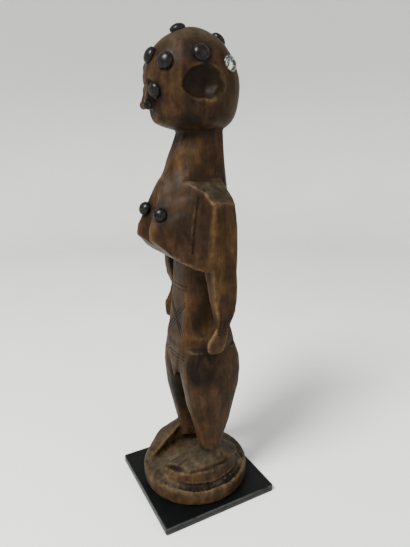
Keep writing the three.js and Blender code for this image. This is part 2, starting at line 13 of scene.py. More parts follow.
import bmesh
import bpy
import numpy as np
from mathutils import Matrix, Vector, noise


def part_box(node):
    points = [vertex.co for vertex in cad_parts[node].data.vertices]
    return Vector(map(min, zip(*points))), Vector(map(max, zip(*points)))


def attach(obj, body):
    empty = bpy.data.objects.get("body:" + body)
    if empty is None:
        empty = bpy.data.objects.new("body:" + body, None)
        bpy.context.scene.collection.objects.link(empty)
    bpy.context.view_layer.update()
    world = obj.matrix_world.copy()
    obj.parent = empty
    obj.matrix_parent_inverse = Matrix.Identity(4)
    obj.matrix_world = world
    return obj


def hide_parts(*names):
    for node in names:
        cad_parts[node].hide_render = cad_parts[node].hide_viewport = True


bl_info = {
    "name": "Tacked Figure",
    "version": (1, 0, 0),
    "blender": (4, 5, 0),
    "location": "View3D > Sidebar > Tacked Figure",
    "description": "Dresses the packed figure with carved wood, metal tacks and a painted plate",
    "category": "Object",
}

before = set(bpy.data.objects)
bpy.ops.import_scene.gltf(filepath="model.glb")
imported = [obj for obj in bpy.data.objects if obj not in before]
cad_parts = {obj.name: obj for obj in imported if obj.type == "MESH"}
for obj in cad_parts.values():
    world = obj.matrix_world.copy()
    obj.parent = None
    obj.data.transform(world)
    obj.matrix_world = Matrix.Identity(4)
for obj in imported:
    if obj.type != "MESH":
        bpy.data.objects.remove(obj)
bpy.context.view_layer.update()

MM = 0.001
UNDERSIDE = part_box("carved_figure")[0].z
PLATE_LOW, PLATE_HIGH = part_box("display_plate")
MERGE_DISTANCE = 1e-6

DARK_TACKS = (
    "tack_forehead",
    "tack_temple_left",
    "tack_temple_right",
    "tack_above_ear_left",
    "tack_above_ear_right",
    "tack_crown_front",
    "tack_crown_back",
    "tack_eye_left",
    "tack_eye_right",
    "tack_nipple_left",
    "tack_nipple_right",
)
WORN_TACKS = ("tack_back_worn",)
NOSTRIL_NAILS = ("nail_nostril_left", "nail_nostril_right")


def on_figure(x, y, z):
    """A place in metres from one in millimetres above the figure's underside."""
    return np.array([x * MM, y * MM, z * MM + UNDERSIDE])


def mirrored(place):
    x, y, z = place
    return -x, y, z


def both_sides(name, centre, half_sizes, strength):
    """A row of a table of places for her left side, and the same for her right side."""
    return (name, centre, half_sizes, strength), (name, mirrored(centre), half_sizes, strength)


def both_lines(*row):
    """A row of a table of lines for her left side, and the same for her right side."""
    return row, (*row[:-1], tuple(mirrored(place) for place in row[-1]))


# Where the wood is painted lighter, for rubbed wear and as painted highlights on lit faces, ear
# rims and lobes, or painted darker, for patina and as painted shade under the jaw and the arms,
# between the legs and the breasts and on faces turned from the light. Each place is a soft
# ellipsoid: its centre, its half sizes and its strength.
WORN_AND_LIT_PLACES = (
    ("left cheek", (19, -21, 314), (7, 7, 13), 0.15),
    ("forehead", (18, -18, 342), (8, 8, 7), 0.6),
    ("facet before the left ear", (25, -16, 323), (2.6, 2.6, 8), 0.8),
    ("left ear lobe", (31, 3, 310.5), (5, 6, 3), 1.0),
    ("left ear's upper rim", (29, -7, 331.5), (5, 6, 3), 0.9),
    ("behind the left ear", (28, 16, 308), (8, 8, 12), 0.4),
    ("back of the head", (22, 24, 332), (14, 10, 16), 0.8),
    ("chin", (1, -26, 297), (12, 5, 4), 0.5),
    ("left neck front", (9, -13, 274), (5, 7, 16), 0.6),
    ("neck corner", (13, -13, 264), (4, 6, 13), 0.7),
    ("left breast ridge", (14, -35, 228), (4, 7, 24), 0.6),
    ("right breast ridge", (-14, -35, 228), (5, 7, 24), 0.6),
    ("left breast edge", (17, -35, 214), (9, 9, 5), 0.5),
    ("shoulder block corner", (43.5, -4, 215), (4, 4, 34), 0.35),
    ("left upper arm back", (45, 12, 215), (5, 6, 34), 0.7),
    ("left upper arm", (43, 2, 205), (5, 7, 40), 1.3),
    ("left side of the neck", (19, 2, 272), (4, 9, 14), 1.2),
    ("left forearm front", (40, -2, 168), (6, 5, 30), 1.4),
    ("left forearm back", (43, 14, 168), (5, 4, 24), 0.5),
    ("left hand edges", (40, 0, 134), (8, 12, 4), 0.3),
    ("belly corner", (13.5, -12.4, 160), (4, 4, 26), 0.6),
    ("belly below", (6, -15.5, 134), (14, 5, 9), 0.7),
    ("left hip crease", (23, -8, 136.8), (10, 8, 2), 0.8),
    ("left thigh front", (20, -17, 108), (5, 6, 26), 0.9),
    ("left shin", (25, -10, 72), (10, 10, 22), 0.45),
    ("left ankle", (26, -1, 42), (9, 10, 8), 0.9),
    ("right shin", (-18, -8, 60), (8, 8, 14), 0.35),
    ("round foot wall", (0, 0, 6), (60, 60, 9), 0.3),
    ("left foot lip", (20, -33, 19), (12, 6, 3), 1.0),
    ("left foot edge", (35, -16, 22), (9, 14, 4), 0.4),
    ("right toe", (-23, -34, 19.5), (7, 6, 5), 1.0),
    ("right foot slope", (-22, -16, 27), (10, 18, 6), 1.0),
    ("right foot's inner wall", (-12, -18, 20), (6, 16, 5), 1.2),
    ("left foot's shelf", (33, -22, 21), (8, 14, 3), 0.4),
    ("right foot edge", (-12, -22, 22), (4, 18, 4), 0.5),
)
# Darker places: patina, and painted shade under and between parts, such as under the jaw and the
# arms, between the legs and the breasts, and the chin shadow.
DARK_PLACES = (
    ("forehead strip", (12, -22, 345), (4, 5, 7), 0.8),
    ("before the crown", (22, -7, 347), (7, 6, 5), 0.35),
    ("around the tack above the left ear", (26, -3, 338), (7, 10, 7), 0.6),
    ("facet over the left ear", (27, -14, 329.5), (4, 3.4, 5), 0.8),
    ("before the left ear", (25.4, -12, 317), (4, 4.5, 9), 1.2),
    ("lower left cheek", (24, -10, 309), (6, 6, 6), 0.6),
    ("left jaw", (21, -9, 299), (14, 14, 6), 1.2),
    ("right jaw", (-21, -9, 299), (14, 14, 5), 0.9),
    ("back of the jaw", (0, 24, 298), (26, 16, 5), 0.5),
    *both_sides("eye cleft", (13, -28, 315), (4, 4, 12), 1.0),
    ("chin shadow", (0, -24, 300), (16, 3, 4), 0.4),
    ("nose", (0, -36, 311), (6, 6, 10), 0.7),
    ("brow", (5, -30, 328), (9, 6, 8), 0.35),
    ("under the jaw", (0, -2, 290), (30, 30, 5), 0.9),
    ("left side of the neck", (17, -2, 276), (3, 8, 9), 0.15),
    ("neck streak", (7, -22, 258), (2.6, 3, 14), 0.6),
    ("neck front edge", (0, -10, 282), (4, 4, 14), 0.5),
    ("neck foot", (17, 6, 256.5), (5, 18, 1.6), 0.9),
    ("around the left nipple", (14, -30, 236), (8, 8, 10), 0.8),
    ("left chest flank", (27, -17, 226), (6, 8, 26), 1.2),
    ("left shoulder block", (36, -8, 222), (6, 5, 30), 0.8),
    *both_sides("under the arm", (25, 2, 192), (9, 22, 10), 0.9),
    ("left side of the belly", (20, 2, 178), (6, 12, 14), 0.3),
    ("belly front", (0, -15, 155), (15, 5, 30), 1.0),
    ("left side of the chest", (18, -26, 240), (10, 10, 12), 0.4),
    ("left waist", (19, 0, 150), (6, 12, 12), 0.8),
    ("left hip", (30, -2, 127), (9, 14, 9), 0.9),
    ("left thigh", (27, -8, 114), (11, 12, 13), 4.0),
    ("left outer thigh", (32, 8, 104), (5, 10, 9), 0.6),
    ("between the legs", (0, -4, 94), (8, 26, 24), 1.6),
    ("between the breasts", (0, -32, 224), (7, 8, 18), 0.8),
    ("below the collar", (10, -20, 252), (9, 8, 8), 0.5),
    ("left breast's side", (21, -27, 228), (6, 8, 16), 0.4),
    ("right breast", (-10, -36, 222), (7, 8, 12), 0.4),
    ("right inner thigh", (-12, -12, 80), (9, 10, 20), 4.0),
    ("right inner shin", (-14, -5, 58), (4, 6, 16), 1.0),
    ("left inner leg", (8, 2, 70), (6, 16, 40), 0.8),
    ("left ankle's foot", (26, -1, 36), (11, 12, 2), 0.7),
    ("left outer arm", (45, 4, 232), (3, 8, 16), 0.3),
    ("right foot wall", (-11, -12, 22), (3, 18, 4), 0.4),
    ("channel", (36, -14, 15), (20, 24, 2.6), 0.8),
    ("top of the left foot", (12, 0, 24), (8, 30, 5), 0.3),
)
# Where pale dust has settled for good, painted together with pale painted light between the feet,
# on the right foot's slope and on the crown.
DUST_AND_LIGHT_PLACES = (
    ("floor between the feet", (-2, -18, 17), (9, 18, 6), 0.9),
    ("right foot's slope", (-22, -16, 27), (10, 18, 6), 0.5),
    ("crown", (6, 4, 352), (22, 24, 9), 0.35),
)
# Where the wood is rubbed round, without facets, and how many rounds of softening it gets.
SMOOTHED_PLACES = both_sides("front of the neck's foot", (11, -18, 261), (11, 8, 9), 1.4)
SMOOTHED_ROUNDS = 140
# How sharply a place fades towards its outside.
PLACE_FALLOFF = 1.4
# How far the grime round a tack reaches.
DARK_HALO = 3.2 * MM
# Painted shade: a deep red cleft is painted beside the nose, where none is cut, on faces that look
# forwards at least this much.
NOSE_CLEFT_SHADE = ((0, -28, 312), (18, 3.4, 16))
FACING_FRONT = 0.6

# Each ear is a shell on the side of the head, hollowed out towards the front. Its places are
# millimetres along it and up it from its middle, and its outlines are 1 on an oval's edge.
EAR_MIDDLE = (26.6, -0.6, 321.4)
EAR_TURN = math.radians(14)
EAR_INNER = -5
EAR_OUTER = 8
EAR_HALF_SIZES = (15, 12.6)
EAR_SURROUND = (1.35, 1.15)
EAR_HOLLOW_MIDDLE = (-0.6, 0.2)
EAR_HOLLOW_HALF_SIZES = (13.4, 11)
EAR_HOLLOW_EDGE = (1.06, 0.9)
EAR_HOLLOW_DEPTH = 0.9 * MM
EAR_CHIP_DEPTH = 0.5 * MM
# The pit is also painted near black, as painted shade.
EAR_PIT_MIDDLE = (0.5, -1.5)
EAR_PIT_HALF_SIZES = (3.4, 6)
EAR_PIT_DEPTH = 1.2 * MM
EAR_RIM_PLACE = 0.93
EAR_RIM_WIDTH = 0.06
EAR_RIM_HEIGHT = 0.35 * MM
EAR_RIM_UP = (3, 6)
EAR_RIM_ALONG = (4, -2)
# The hollow's outline wanders in waves: how many go round it, their start and their height.
EAR_WAVES = ((3, 0.6, 0.072), (7, 0, 0.048))

# The lines cut into the belly: their ends, in millimetres across it and up.
BELLY_LINES = (
    ((-13, 176.6), (13, 177.6)),
    ((-13, 173.4), (13, 174.4)),
    ((12.5, 165), (-13.5, 138)),
    ((12.5, 161.6), (-12, 135.6)),
    ((-12.5, 165), (14, 138)),
    ((-12.5, 161.6), (12.5, 135.6)),
    ((-17, 121.6), (17, 121.6)),
    ((-17, 118.8), (17, 118.8)),
)
# The grid of cuts at each wrist: its level lines, its upright ones, and how far they overshoot.
WRIST_HEIGHTS = (146, 148.6, 151.2, 153.8, 156.4)
WRIST_RIDGES = (2.6, 5, 7.4, 9.8)
WRIST_OVERSHOOT = (1.4, 1.2)
RIGHT_WRIST_LIFT = 11
# How far from the figure's middle the faces with cut lines start, and how much they face out.
BELLY_FACE = 8
WRIST_FACE = 38
FACING_OUT = 0.5
# How wide the lines are, how close to one the skin is halved and how often, and what is far
# from all of them.
LINE_WIDTH = 0.55 * MM
LINE_REACH = 1.5 * MM
LINE_ROUNDS = 2
FAR_AWAY = 1.0

# The knife's facets, the small chips and the slow swells of the wood.
KNIFE_CUT = (8, 8, 17)
CHIP_SIZE = 2.6 * MM
SWELL_SIZE = 15 * MM
# The rounds that rub away the skin's steps, and the share that gives its bulk back after them.
STEP_ROUNDS = 2
BULK_BACK = -0.45

# The skin is finer where a crease of twice the width has more than this share.
CREASE_LEAST_SHARE = 0.4
CREASE_GRIME = 0.6
# Creases and grooves cut over the wood: their half widths and depths, and their places.
CREASES = (
    ("shelf round the left foot", 1.3, 1.6,
     ((31, -19, 25.6), (35, -7.8, 27), (35.6, 0, 27.4), (35, 7.8, 27.2), (31, 18, 25),
      (24, 29, 21))),
    *both_lines(
        "beside the breast", 0.8, 0.8,
        ((29.1, -7.4, 246), (30.6, -9.9, 235), (32.6, -12.8, 221.6), (34.6, -15.2, 208.7)),
    ),
    *both_lines(
        "side of the neck's foot", 0.7, 0.6,
        ((17.3, -14.2, 257.8), (18.7, -4.6, 257.8), (20.1, 6.8, 257.1), (21.8, 15.7, 256)),
    ),
    ("between the breasts", 1.2, 0.7, ((0, -27, 252), (0, -29, 238), (0, -31, 222))),
    ("right foot's inner edge", 0.8, 0.6, ((-14, 5, 28), (-10, -12, 22), (-8, -26, 18))),
)

# Sharp edges painted bright, for rubbed wear and as painted highlights on lit rims, lips and
# ridges: their half widths and places, and how bright they all are.
BRIGHT_LINE_SHARE = 0.55
BRIGHT_LINES = (
    ("lip of the left foot's shelf", 0.8,
     ((11, -34.4, 17.2), (24.4, -33.4, 17.2), (34.4, -23, 17.2), (37.6, -10, 17.2), (38, 2, 17.2),
      (35.4, 14.5, 17.2))),
    ("lip of the toe's hollow", 0.8, ((3, -33.4, 18), (16, -31.6, 20.4), (28, -25, 23.8))),
    *both_lines("ridge beside the groove", 0.45,
                ((27.8, -8.6, 246), (29.2, -11.2, 235), (31.2, -14.3, 221.6), (33, -17, 208.7))),
    ("front of the left ear's rim", 1.0,
     ((24.8, -12.9, 326.6), (25.9, -10.6, 329.6), (28.1, -7.2, 331.6), (29.6, -2.5, 333.3))),
    ("left ear's lobe", 1.5, ((30.1, -1.2, 310.4), (30.5, 2.3, 309.8), (31.3, 5.7, 311.0))),
    ("corner of the left shoulder", 0.8,
     ((42.7, -3.4, 243), (43.4, -3.5, 236.3), (44.2, -3.6, 216), (43.7, -5, 204))),
    ("edge of the left shoulder", 0.7,
     ((26.9, -6.2, 253.1), (33.5, -4.6, 248.3), (41.8, -3.7, 243.9), (44.1, 11.5, 243.1))),
    ("under the chest", 0.8, ((9.3, -10.5, 193.2), (15.4, -5.9, 192), (18.2, -0.6, 189.6))),
)

# The rough chip-cut stretch that widens the channel beside the left foot, as a ring about the
# part's middle. Its floor is this many chip depths below the wood.
CHIPS_INNER = 38.6 * MM
CHIPS_OUTER = 43.4 * MM
CHIPS_LOW = 12
CHIPS_HIGH = 18.5
CHIPS_FROM = math.radians(-46)
CHIPS_TO = math.radians(44)
CHIPS_FADE = math.radians(14)
CHIPS_FLOOR = 1.2

# The chipped hollow at the left toe is almond-shaped, between two ends. Faint grooves fan out
# from the left ankle over the slope of its foot, between two turns and two heights.
TOE_HOLLOW = ((4.5, -31, 19.6), (31, -20.5, 25.4))
TOE_HOLLOW_HALF_WIDTH = 3.2
TOE_HOLLOW_GRIME = 1.3
FAN_MIDDLE = (17.6, 6.4)
FAN_GROOVES = 20
FAN_SHARPNESS = 3
FAN_FROM = math.radians(-165)
FAN_TO = math.radians(20)
FAN_LOW = 23
FAN_HIGH = 34
FAN_FADE = 2

# The camera's place, in millimetres from the middle of the plate's top, and the way it looks.
CAMERA_PLACE = (312.6, -153.2, 282.4)
CAMERA_YAW = math.radians(62.08)
CAMERA_PITCH = math.radians(15.83)
CAMERA_ROLL = math.radians(-0.67)
CAMERA_SENSOR = 36

# The wood's patterns: how much finer or coarser each is along the grain than across it, then its
# scale, its detail, its roughness and its distortion.
WOOD_PATTERNS = {
    "clouds": (1, 52, 5, 0.62, 0.4),
    "wide clouds": (1, 19, 3, 0.5, 0.2),
    "smoke": (0.5, 115, 5, 0.6, 0.5),
    "streaks": (0.14, 210, 4, 0.62, 0.3),
    "grain": (0.06, 640, 5, 0.62, 0.25),
    "pores": (0.06, 2300, 3, 0.7, 0),
    "mottle": (1, 280, 4, 0.65, 0),
}
# How some of them shade the wood: the range of each that counts, and the shade at either end.
WOOD_SHADES = (
    ("wide clouds", 0.3, 0.7, 0.72, 1.2),
    ("smoke", 0.32, 0.68, 0.62, 1.34),
    ("mottle", 0.3, 0.72, 0.8, 1.2),
    ("streaks", 0.3, 0.7, 0.8, 1.18),
    ("grain", 0.3, 0.7, 0.86, 1.12),
)
# The coats over the wood: the setting with the colour, the paint on the mesh that says where
# the coat lies, and the pattern that breaks it up, with its range and the share at either end.
DUST_COAT = ("dusty_wood", "dust", "mottle", 0.25, 0.7, 0.45, 1.0)
# The worn coat lays rubbed wear and painted highlights on the lit places.
WORN_AND_LIT_COAT = ("worn_and_lit_wood", "worn", "streaks", 0.3, 0.62, 0.3, 1.0)
UPPER_COATS = (
    ("dark_wood_and_shade", "patina", "smoke", 0.3, 0.7, 1.215, 0.63),
    ("deep_red", "deep_red", "mottle", 0.35, 0.7, 1.0, 0.55),
    ("pale_dust", "pale_dust", "mottle", 0.3, 0.7, 0.4, 1.0),
    ("rubbed_and_lit_edge", "edge", "mottle", 0.35, 0.65, 0.105, 0.7),
)
# Small pale specks: the scale of their cells, the size of a speck in one and its strength.
SPECK_SCALE = 420.0
SPECK_SIZE = 0.16
SPECK_SHARE = 0.4

# The rounds that soften the skin for its close form and its wide one, and how many millimetres
# it stands out of either where each of the wear, the painted highlights and the grime starts and
# where it is full.
CLOSE_ROUNDS = 4
WIDE_ROUNDS = 45
SHARP_EDGE = (0.07, 0.29)
SHARP_HOLLOW = (0.03, 0.19)
WIDE_SWELL = (0.2, 1.6)
WIDE_HOLLOW = (0.25, 1.85)
# How steeply a face looks up where dust starts to lie and where it lies in full.
FACING_UP = (0.4, 0.85)
# The foot and the roof of the shoulders gather the most dust: their heights, and the shares of
# dust on other faces that look up and on all of the foot.
FOOT_TOP = 45
ROOF_LOW = 236
ROOF_HIGH = 262
OTHER_DUST = 0.55
FOOT_DUST = 0.3
# How dark wide hollows are on the foot and elsewhere, and how much of an edge's brightness is
# lost on an ear and in a dark place.
FOOT_HOLLOWS = 0.15
OTHER_HOLLOWS = 0.5
EAR_EDGE_LOSS = 0.75
DARK_EDGE_LOSS = 0.6
# What each paint on the mesh is made of: its marks and their shares.
PAINTS = {
    # Rubbed wear, with painted highlights in the worn and lit places.
    "worn": {"worn and lit places": 0.85, "swell": 0.3, "dark places": -0.5, "ear hollow": -1},
    # Rubbed edges, and painted highlights along lit edges.
    "edge": {"edge": 1},
    # Patina, with painted shade in the dark places and in the ear's pit and hollow.
    "patina": {
        "dark places": 0.75, "sharp hollow": 0.7, "wide hollow": 1, "cuts": 0.5, "halos": 0.6,
        "worn and lit places": -0.35, "ear pit": 0.9, "ear hollow": 0.45,
    },
    # The wood's dark red, with painted shade in the ear's hollow and in the cleft beside the nose.
    "deep_red": {"ear hollow": 1, "cleft": 0.8},
    # Settled dust, with pale painted light.
    "pale_dust": {"settled dust and light": 1},
    "dust": {"dust": 1},
}

# Grime in the dents of the worn tack.
METAL_GRIME = (0.02, 0.019, 0.017)
# How dark the faint clouds on the stage are.
CLOUD_SHADE = 0.95


def length_property(name, description, default, least, most):
    return bpy.props.FloatProperty(name=name, description=description, default=default,
                                   min=least, max=most, unit="LENGTH", precision=5)


def colour_property(name, description, colour):
    return bpy.props.FloatVectorProperty(name=name, description=description, default=colour,
                                         size=3, min=0, max=1, subtype="COLOR")


class WoodSettings(bpy.types.PropertyGroup):
    """Sizes and colours of the carved wood"""

    skin_size: length_property(
        "Skin Size", "Side of the small faces of the skin", 1.22 * MM, 0.7 * MM, 4 * MM)
    tool_mark_depth: length_property(
        "Tool Mark Depth", "Depth of the knife facets all over the wood", 0.16 * MM, 0, 1 * MM)
    unevenness: length_property(
        "Unevenness", "How far the wood wanders in and out from its true form",
        0.35 * MM, 0, 1 * MM)
    line_depth: length_property(
        "Line Depth", "Depth of the lines cut at belly and wrists", 0.45 * MM, 0, 1 * MM)
    chip_depth: length_property(
        "Chip Depth", "Depth of the rough chips beside the left foot", 0.9 * MM, 0, 2 * MM)
    groove_depth: length_property(
        "Groove Depth", "Depth of the faint grooves fanning over the left foot",
        0.3 * MM, 0, 1 * MM)
    # Patina, and the painted shade in the dark places and in the ear's pit and hollow.
    dark_wood_and_shade: colour_property(
        "Dark Wood", "Patina in hollows and where hands don't reach", (0.0048, 0.0032, 0.0020))
    brown_wood: colour_property(
        "Brown Wood", "The wood's common tone", (0.0245, 0.0133, 0.0058))
    red_wood: colour_property(
        "Red Wood", "Redder clouds in the wood", (0.0258, 0.0118, 0.0056))
    # Orange brown of rubbed wear, and of the painted highlights laid with it.
    worn_and_lit_wood: colour_property(
        "Worn Wood", "Orange brown where the wood is rubbed", (0.0455, 0.0234, 0.0076))
    # Rubbed sharp edges, and the painted highlights along lit edges.
    rubbed_and_lit_edge: colour_property(
        "Bright Edge", "Rubbed sharp edges", (0.110, 0.070, 0.034))
    dusty_wood: colour_property(
        "Dusty Wood", "Grey olive cast of faces that look up", (0.031, 0.0240, 0.0152))
    # Settled dust, with pale painted light between the feet and on the crown.
    pale_dust: colour_property(
        "Pale Dust", "Dust settled between the feet and on the crown", (0.072, 0.058, 0.037))
    # Dark red brown in the ears, partly painted shade, and the painted shade of the cleft beside
    # the nose.
    deep_red: colour_property(
        "Deep Red", "Dark red brown inside the ears and beside the nose",
        (0.0070, 0.0038, 0.0019))


class TackSettings(bpy.types.PropertyGroup):
    """Sizes and colours of the tacks and nails"""

    segments: bpy.props.IntProperty(
        name="Segments", description="Faces around a dome", default=40, min=8, max=96)
    hammering: length_property(
        "Hammering", "Depth of the small dents all over a forged dome", 0.1 * MM, 0, 1 * MM)
    worn_dents: length_property(
        "Worn Dents", "Depth of the dents in the worn tack", 0.75 * MM, 0, 2 * MM)
    nostril_hollow: length_property(
        "Nostril Hollow", "Depth of the cup in a nostril nail", 0.8 * MM, 0, 2 * MM)
    iron: colour_property("Iron", "Blackened iron", (0.004, 0.0037, 0.0034))
    rust: colour_property("Rust", "Dull brown spots on the iron", (0.020, 0.014, 0.010))
    bare_metal: colour_property("Bare Metal", "The worn tack's bare metal", (0.42, 0.42, 0.39))


class PlateSettings(bpy.types.PropertyGroup):
    """Sizes and colours of the plate"""

    corner_radius: length_property(
        "Corner Radius", "Radius of the plate's four corners", 1.6 * MM, 0.2 * MM, 10 * MM)
    edge_radius: length_property(
        "Edge Radius", "Radius of the plate's rubbed edges", 0.5 * MM, 0.1 * MM, 2 * MM)
    black_paint: colour_property("Black Paint", "The plate's paint", (0.0022, 0.0026, 0.0026))
    # Grey of rubbed paint, and painted reflection along the rounded edges.
    rubbed_paint_and_glint: colour_property(
        "Rubbed Paint", "Grey where the paint is rubbed", (0.048, 0.048, 0.046))


class StageSettings(bpy.types.PropertyGroup):
    """The pale floor, the lights and the camera"""

    floor_radius: length_property(
        "Floor Radius", "Radius of the flat part of the stage", 1.0, 0.3, 4)
    wall_height: length_property(
        "Wall Height", "Height of the stage's rounded wall", 1.9, 0.3, 4)
    pale: colour_property("Pale", "Colour of the floor and the wall", (0.86, 0.86, 0.845))
    # The wall's colour higher up, painted darker as painted shade.
    shaded_upper_pale: colour_property(
        "Upper Pale", "Colour of the wall higher up", (0.54, 0.54, 0.52))
    key_power: bpy.props.FloatProperty(
        name="Key Power", description="Power of the large soft light in front, at the left",
        default=54, min=0, max=500, subtype="POWER")
    fill_power: bpy.props.FloatProperty(
        name="Fill Power", description="Power of the weak light at the right",
        default=8, min=0, max=500, subtype="POWER")
    sky_strength: bpy.props.FloatProperty(
        name="Sky Strength", description="Strength of the light from all round",
        default=0.48, min=0, max=5)
    lens: bpy.props.FloatProperty(
        name="Lens", description="Focal length for a 36 mm wide sensor",
        default=29.95, min=10, max=200, subtype="DISTANCE_CAMERA")


def add_node(tree, kind, inputs=None, **settings):
    """Adds a node, sets its options, and joins or fills its inputs."""
    made = tree.nodes.new(kind)
    for name, value in settings.items():
        setattr(made, name, value)
    for socket, value in (inputs or {}).items():
        if isinstance(value, bpy.types.NodeSocket):
            tree.links.new(value, made.inputs[socket])
        else:
            made.inputs[socket].default_value = value
    return made


def opaque(colour):
    return (*colour, 1)


def mixed(tree, share, first, second, blend="MIX"):
    """One colour over another by a share, which may be a socket or a number."""
    made = add_node(tree, "ShaderNodeMix", {0: share, 6: first, 7: second}, data_type="RGBA",
                    blend_type=blend, clamp_factor=True)
    return made.outputs[2]


def reckoned(tree, operation, first, second=0.0, third=0.0):
    made = add_node(tree, "ShaderNodeMath", {0: first, 1: second, 2: third}, operation=operation)
    return made.outputs[0]


def times(tree, first, second):
    return reckoned(tree, "MULTIPLY", first, second)


def ramped(tree, value, low, high, to_low=0.0, to_high=1.0):
    """A value moved smoothly from one range to another, and held at its ends."""
    made = add_node(tree, "ShaderNodeMapRange", {0: value, 1: low, 2: high, 3: to_low, 4: to_high},
                    interpolation_type="SMOOTHSTEP")
    return made.outputs[0]


def object_places(tree, across=1, along=1):
    """Object coordinates scaled across the grain and along it, which runs upwards."""
    coordinates = add_node(tree, "ShaderNodeTexCoord")
    scaled = add_node(tree, "ShaderNodeMapping",
                      {"Vector": coordinates.outputs["Object"], "Scale": (across, across, along)})
    return scaled.outputs[0]


def cloudy(tree, places, scale, detail=4.0, roughness=0.55, distortion=0.0):
    made = add_node(tree, "ShaderNodeTexNoise",
                    {"Vector": places, "Scale": scale, "Detail": detail, "Roughness": roughness,
                     "Distortion": distortion})
    return made.outputs[0]


def painted_value(tree, name):
    """A value that the mesh carries on its points."""
    return add_node(tree, "ShaderNodeAttribute", attribute_name=name).outputs["Fac"]


def empty_material(name, colour, roughness, metallic=0.0, shine=0.5):
    material = bpy.data.materials.new(name)
    material.use_nodes = True
    material.diffuse_color = opaque(colour)
    shader = material.node_tree.nodes["Principled BSDF"]
    constants = {"Base Color": opaque(colour), "Roughness": roughness, "Metallic": metallic,
                 "Specular IOR Level": shine}
    for socket, value in constants.items():
        shader.inputs[socket].default_value = value
    return material, material.node_tree, shader


def finish(tree, shader, colour, roughness, height, strength, distance):
    """Joins a material's colour, its roughness and its fine relief to its shader."""
    bump = add_node(tree, "ShaderNodeBump",
                    {"Height": height, "Strength": strength, "Distance": distance})
    for name, socket in (("Base Color", colour), ("Roughness", roughness),
                         ("Normal", bump.outputs[0])):
        tree.links.new(socket, shader.inputs[name])


def aged_wood(settings):
    """Old hardwood with a hand-rubbed patina, painted highlights and painted shade, its grain
    running up the figure.
    """
    material, tree, shader = empty_material("aged_wood", settings.brown_wood, 0.5, shine=0.055)
    pattern = {}
    for name, (along, *sizes) in WOOD_PATTERNS.items():
        pattern[name] = cloudy(tree, object_places(tree, 1, along), *sizes)

    def coated(colour, tone, paint, name, *ramp):
        """The colour under a coat, and the coat's share."""
        share = times(tree, painted_value(tree, paint), ramped(tree, pattern[name], *ramp))
        return mixed(tree, share, colour, opaque(getattr(settings, tone))), share

    colour = mixed(tree, ramped(tree, pattern["clouds"], 0.36, 0.66), opaque(settings.brown_wood),
                   opaque(settings.red_wood))
    colour, dust = coated(colour, *DUST_COAT)
    colour, _ = coated(colour, *WORN_AND_LIT_COAT)
    shade = 1.0
    for name, *ramp in WOOD_SHADES:
        shade = times(tree, shade, ramped(tree, pattern[name], *ramp))
    colour = mixed(tree, 1.0, colour, shade, "MULTIPLY")
    for coat in UPPER_COATS:
        colour, _ = coated(colour, *coat)

    cells = add_node(tree, "ShaderNodeTexVoronoi",
                     {"Vector": object_places(tree), "Scale": SPECK_SCALE})
    speck = reckoned(tree, "LESS_THAN", cells.outputs["Distance"], SPECK_SIZE)
    speck = times(tree, speck, ramped(tree, pattern["mottle"], 0.55, 0.75, 0, SPECK_SHARE))
    colour = mixed(tree, speck, colour, opaque(settings.dusty_wood))

    roughness = ramped(tree, pattern["mottle"], 0.25, 0.75, 0.38, 0.58)
    roughness = reckoned(tree, "ADD", roughness, ramped(tree, dust, 0, 1, 0, 0.16))
    height = reckoned(tree, "MULTIPLY_ADD", pattern["grain"], 0.7,
                      times(tree, pattern["pores"], 0.35))
    height = reckoned(tree, "MULTIPLY_ADD", pattern["mottle"], 0.6, height)
    finish(tree, shader, colour, roughness, height, 0.5, 0.35 * MM)
    return material


def blackened_iron(settings):
    """Near-black forged iron, a little rough, with a satin shine."""
    material, tree, shader = empty_material("blackened_iron", settings.iron, 0.4, shine=0.12)
    spots = cloudy(tree, object_places(tree), 900, 5, 0.65)
    colour = mixed(tree, ramped(tree, spots, 0.5, 0.8), opaque(settings.iron),
                   opaque(settings.rust))
    finish(tree, shader, colour, ramped(tree, spots, 0.3, 0.75, 0.24, 0.38), spots, 0.2, 0.08 * MM)
    return material


def worn_metal(settings):
    """Bare worn metal, bright on its high spots and dark in its dents."""
    material, tree, shader = empty_material("worn_metal", settings.bare_metal, 0.3, 0.9)
    spots = cloudy(tree, object_places(tree), 420, 4, 0.6, 0.6)
    colour = mixed(tree, ramped(tree, spots, 0.46, 0.58), opaque(METAL_GRIME),
                   opaque(settings.bare_metal))
    finish(tree, shader, colour, ramped(tree, spots, 0.42, 0.6, 0.6, 0.24), spots, 0.6, 0.3 * MM)
    return material


def black_paint(settings):
    """Satin black paint, rubbed grey along the plate's edges, partly as painted reflection, and
    scuffed on top.
    """
    material, tree, shader = empty_material("black_paint", settings.black_paint, 0.42, shine=0.1)
    places = object_places(tree)
    blotches = cloudy(tree, places, 130, 5, 0.65, 0.3)
    scratches = cloudy(tree, object_places(tree, 0.12, 1), 1500, 3, 0.7)
    fine = cloudy(tree, places, 1400, 3, 0.6)
    rubbed = times(tree, painted_value(tree, "rubbed"),
                   ramped(tree, blotches, 0.3, 0.62, 0.2, 1.0))
    scuffed = times(tree, ramped(tree, blotches, 0.6, 0.72),
                    ramped(tree, scratches, 0.55, 0.75, 0, 0.35))
    share = reckoned(tree, "MAXIMUM", rubbed, scuffed)
    colour = mixed(tree, share, opaque(settings.black_paint), opaque(settings.rubbed_paint_and_glint))
    roughness = ramped(tree, blotches, 0.3, 0.75, 0.34, 0.55)
    finish(tree, shader, colour, roughness, fine, 0.25, 0.08 * MM)
    return material


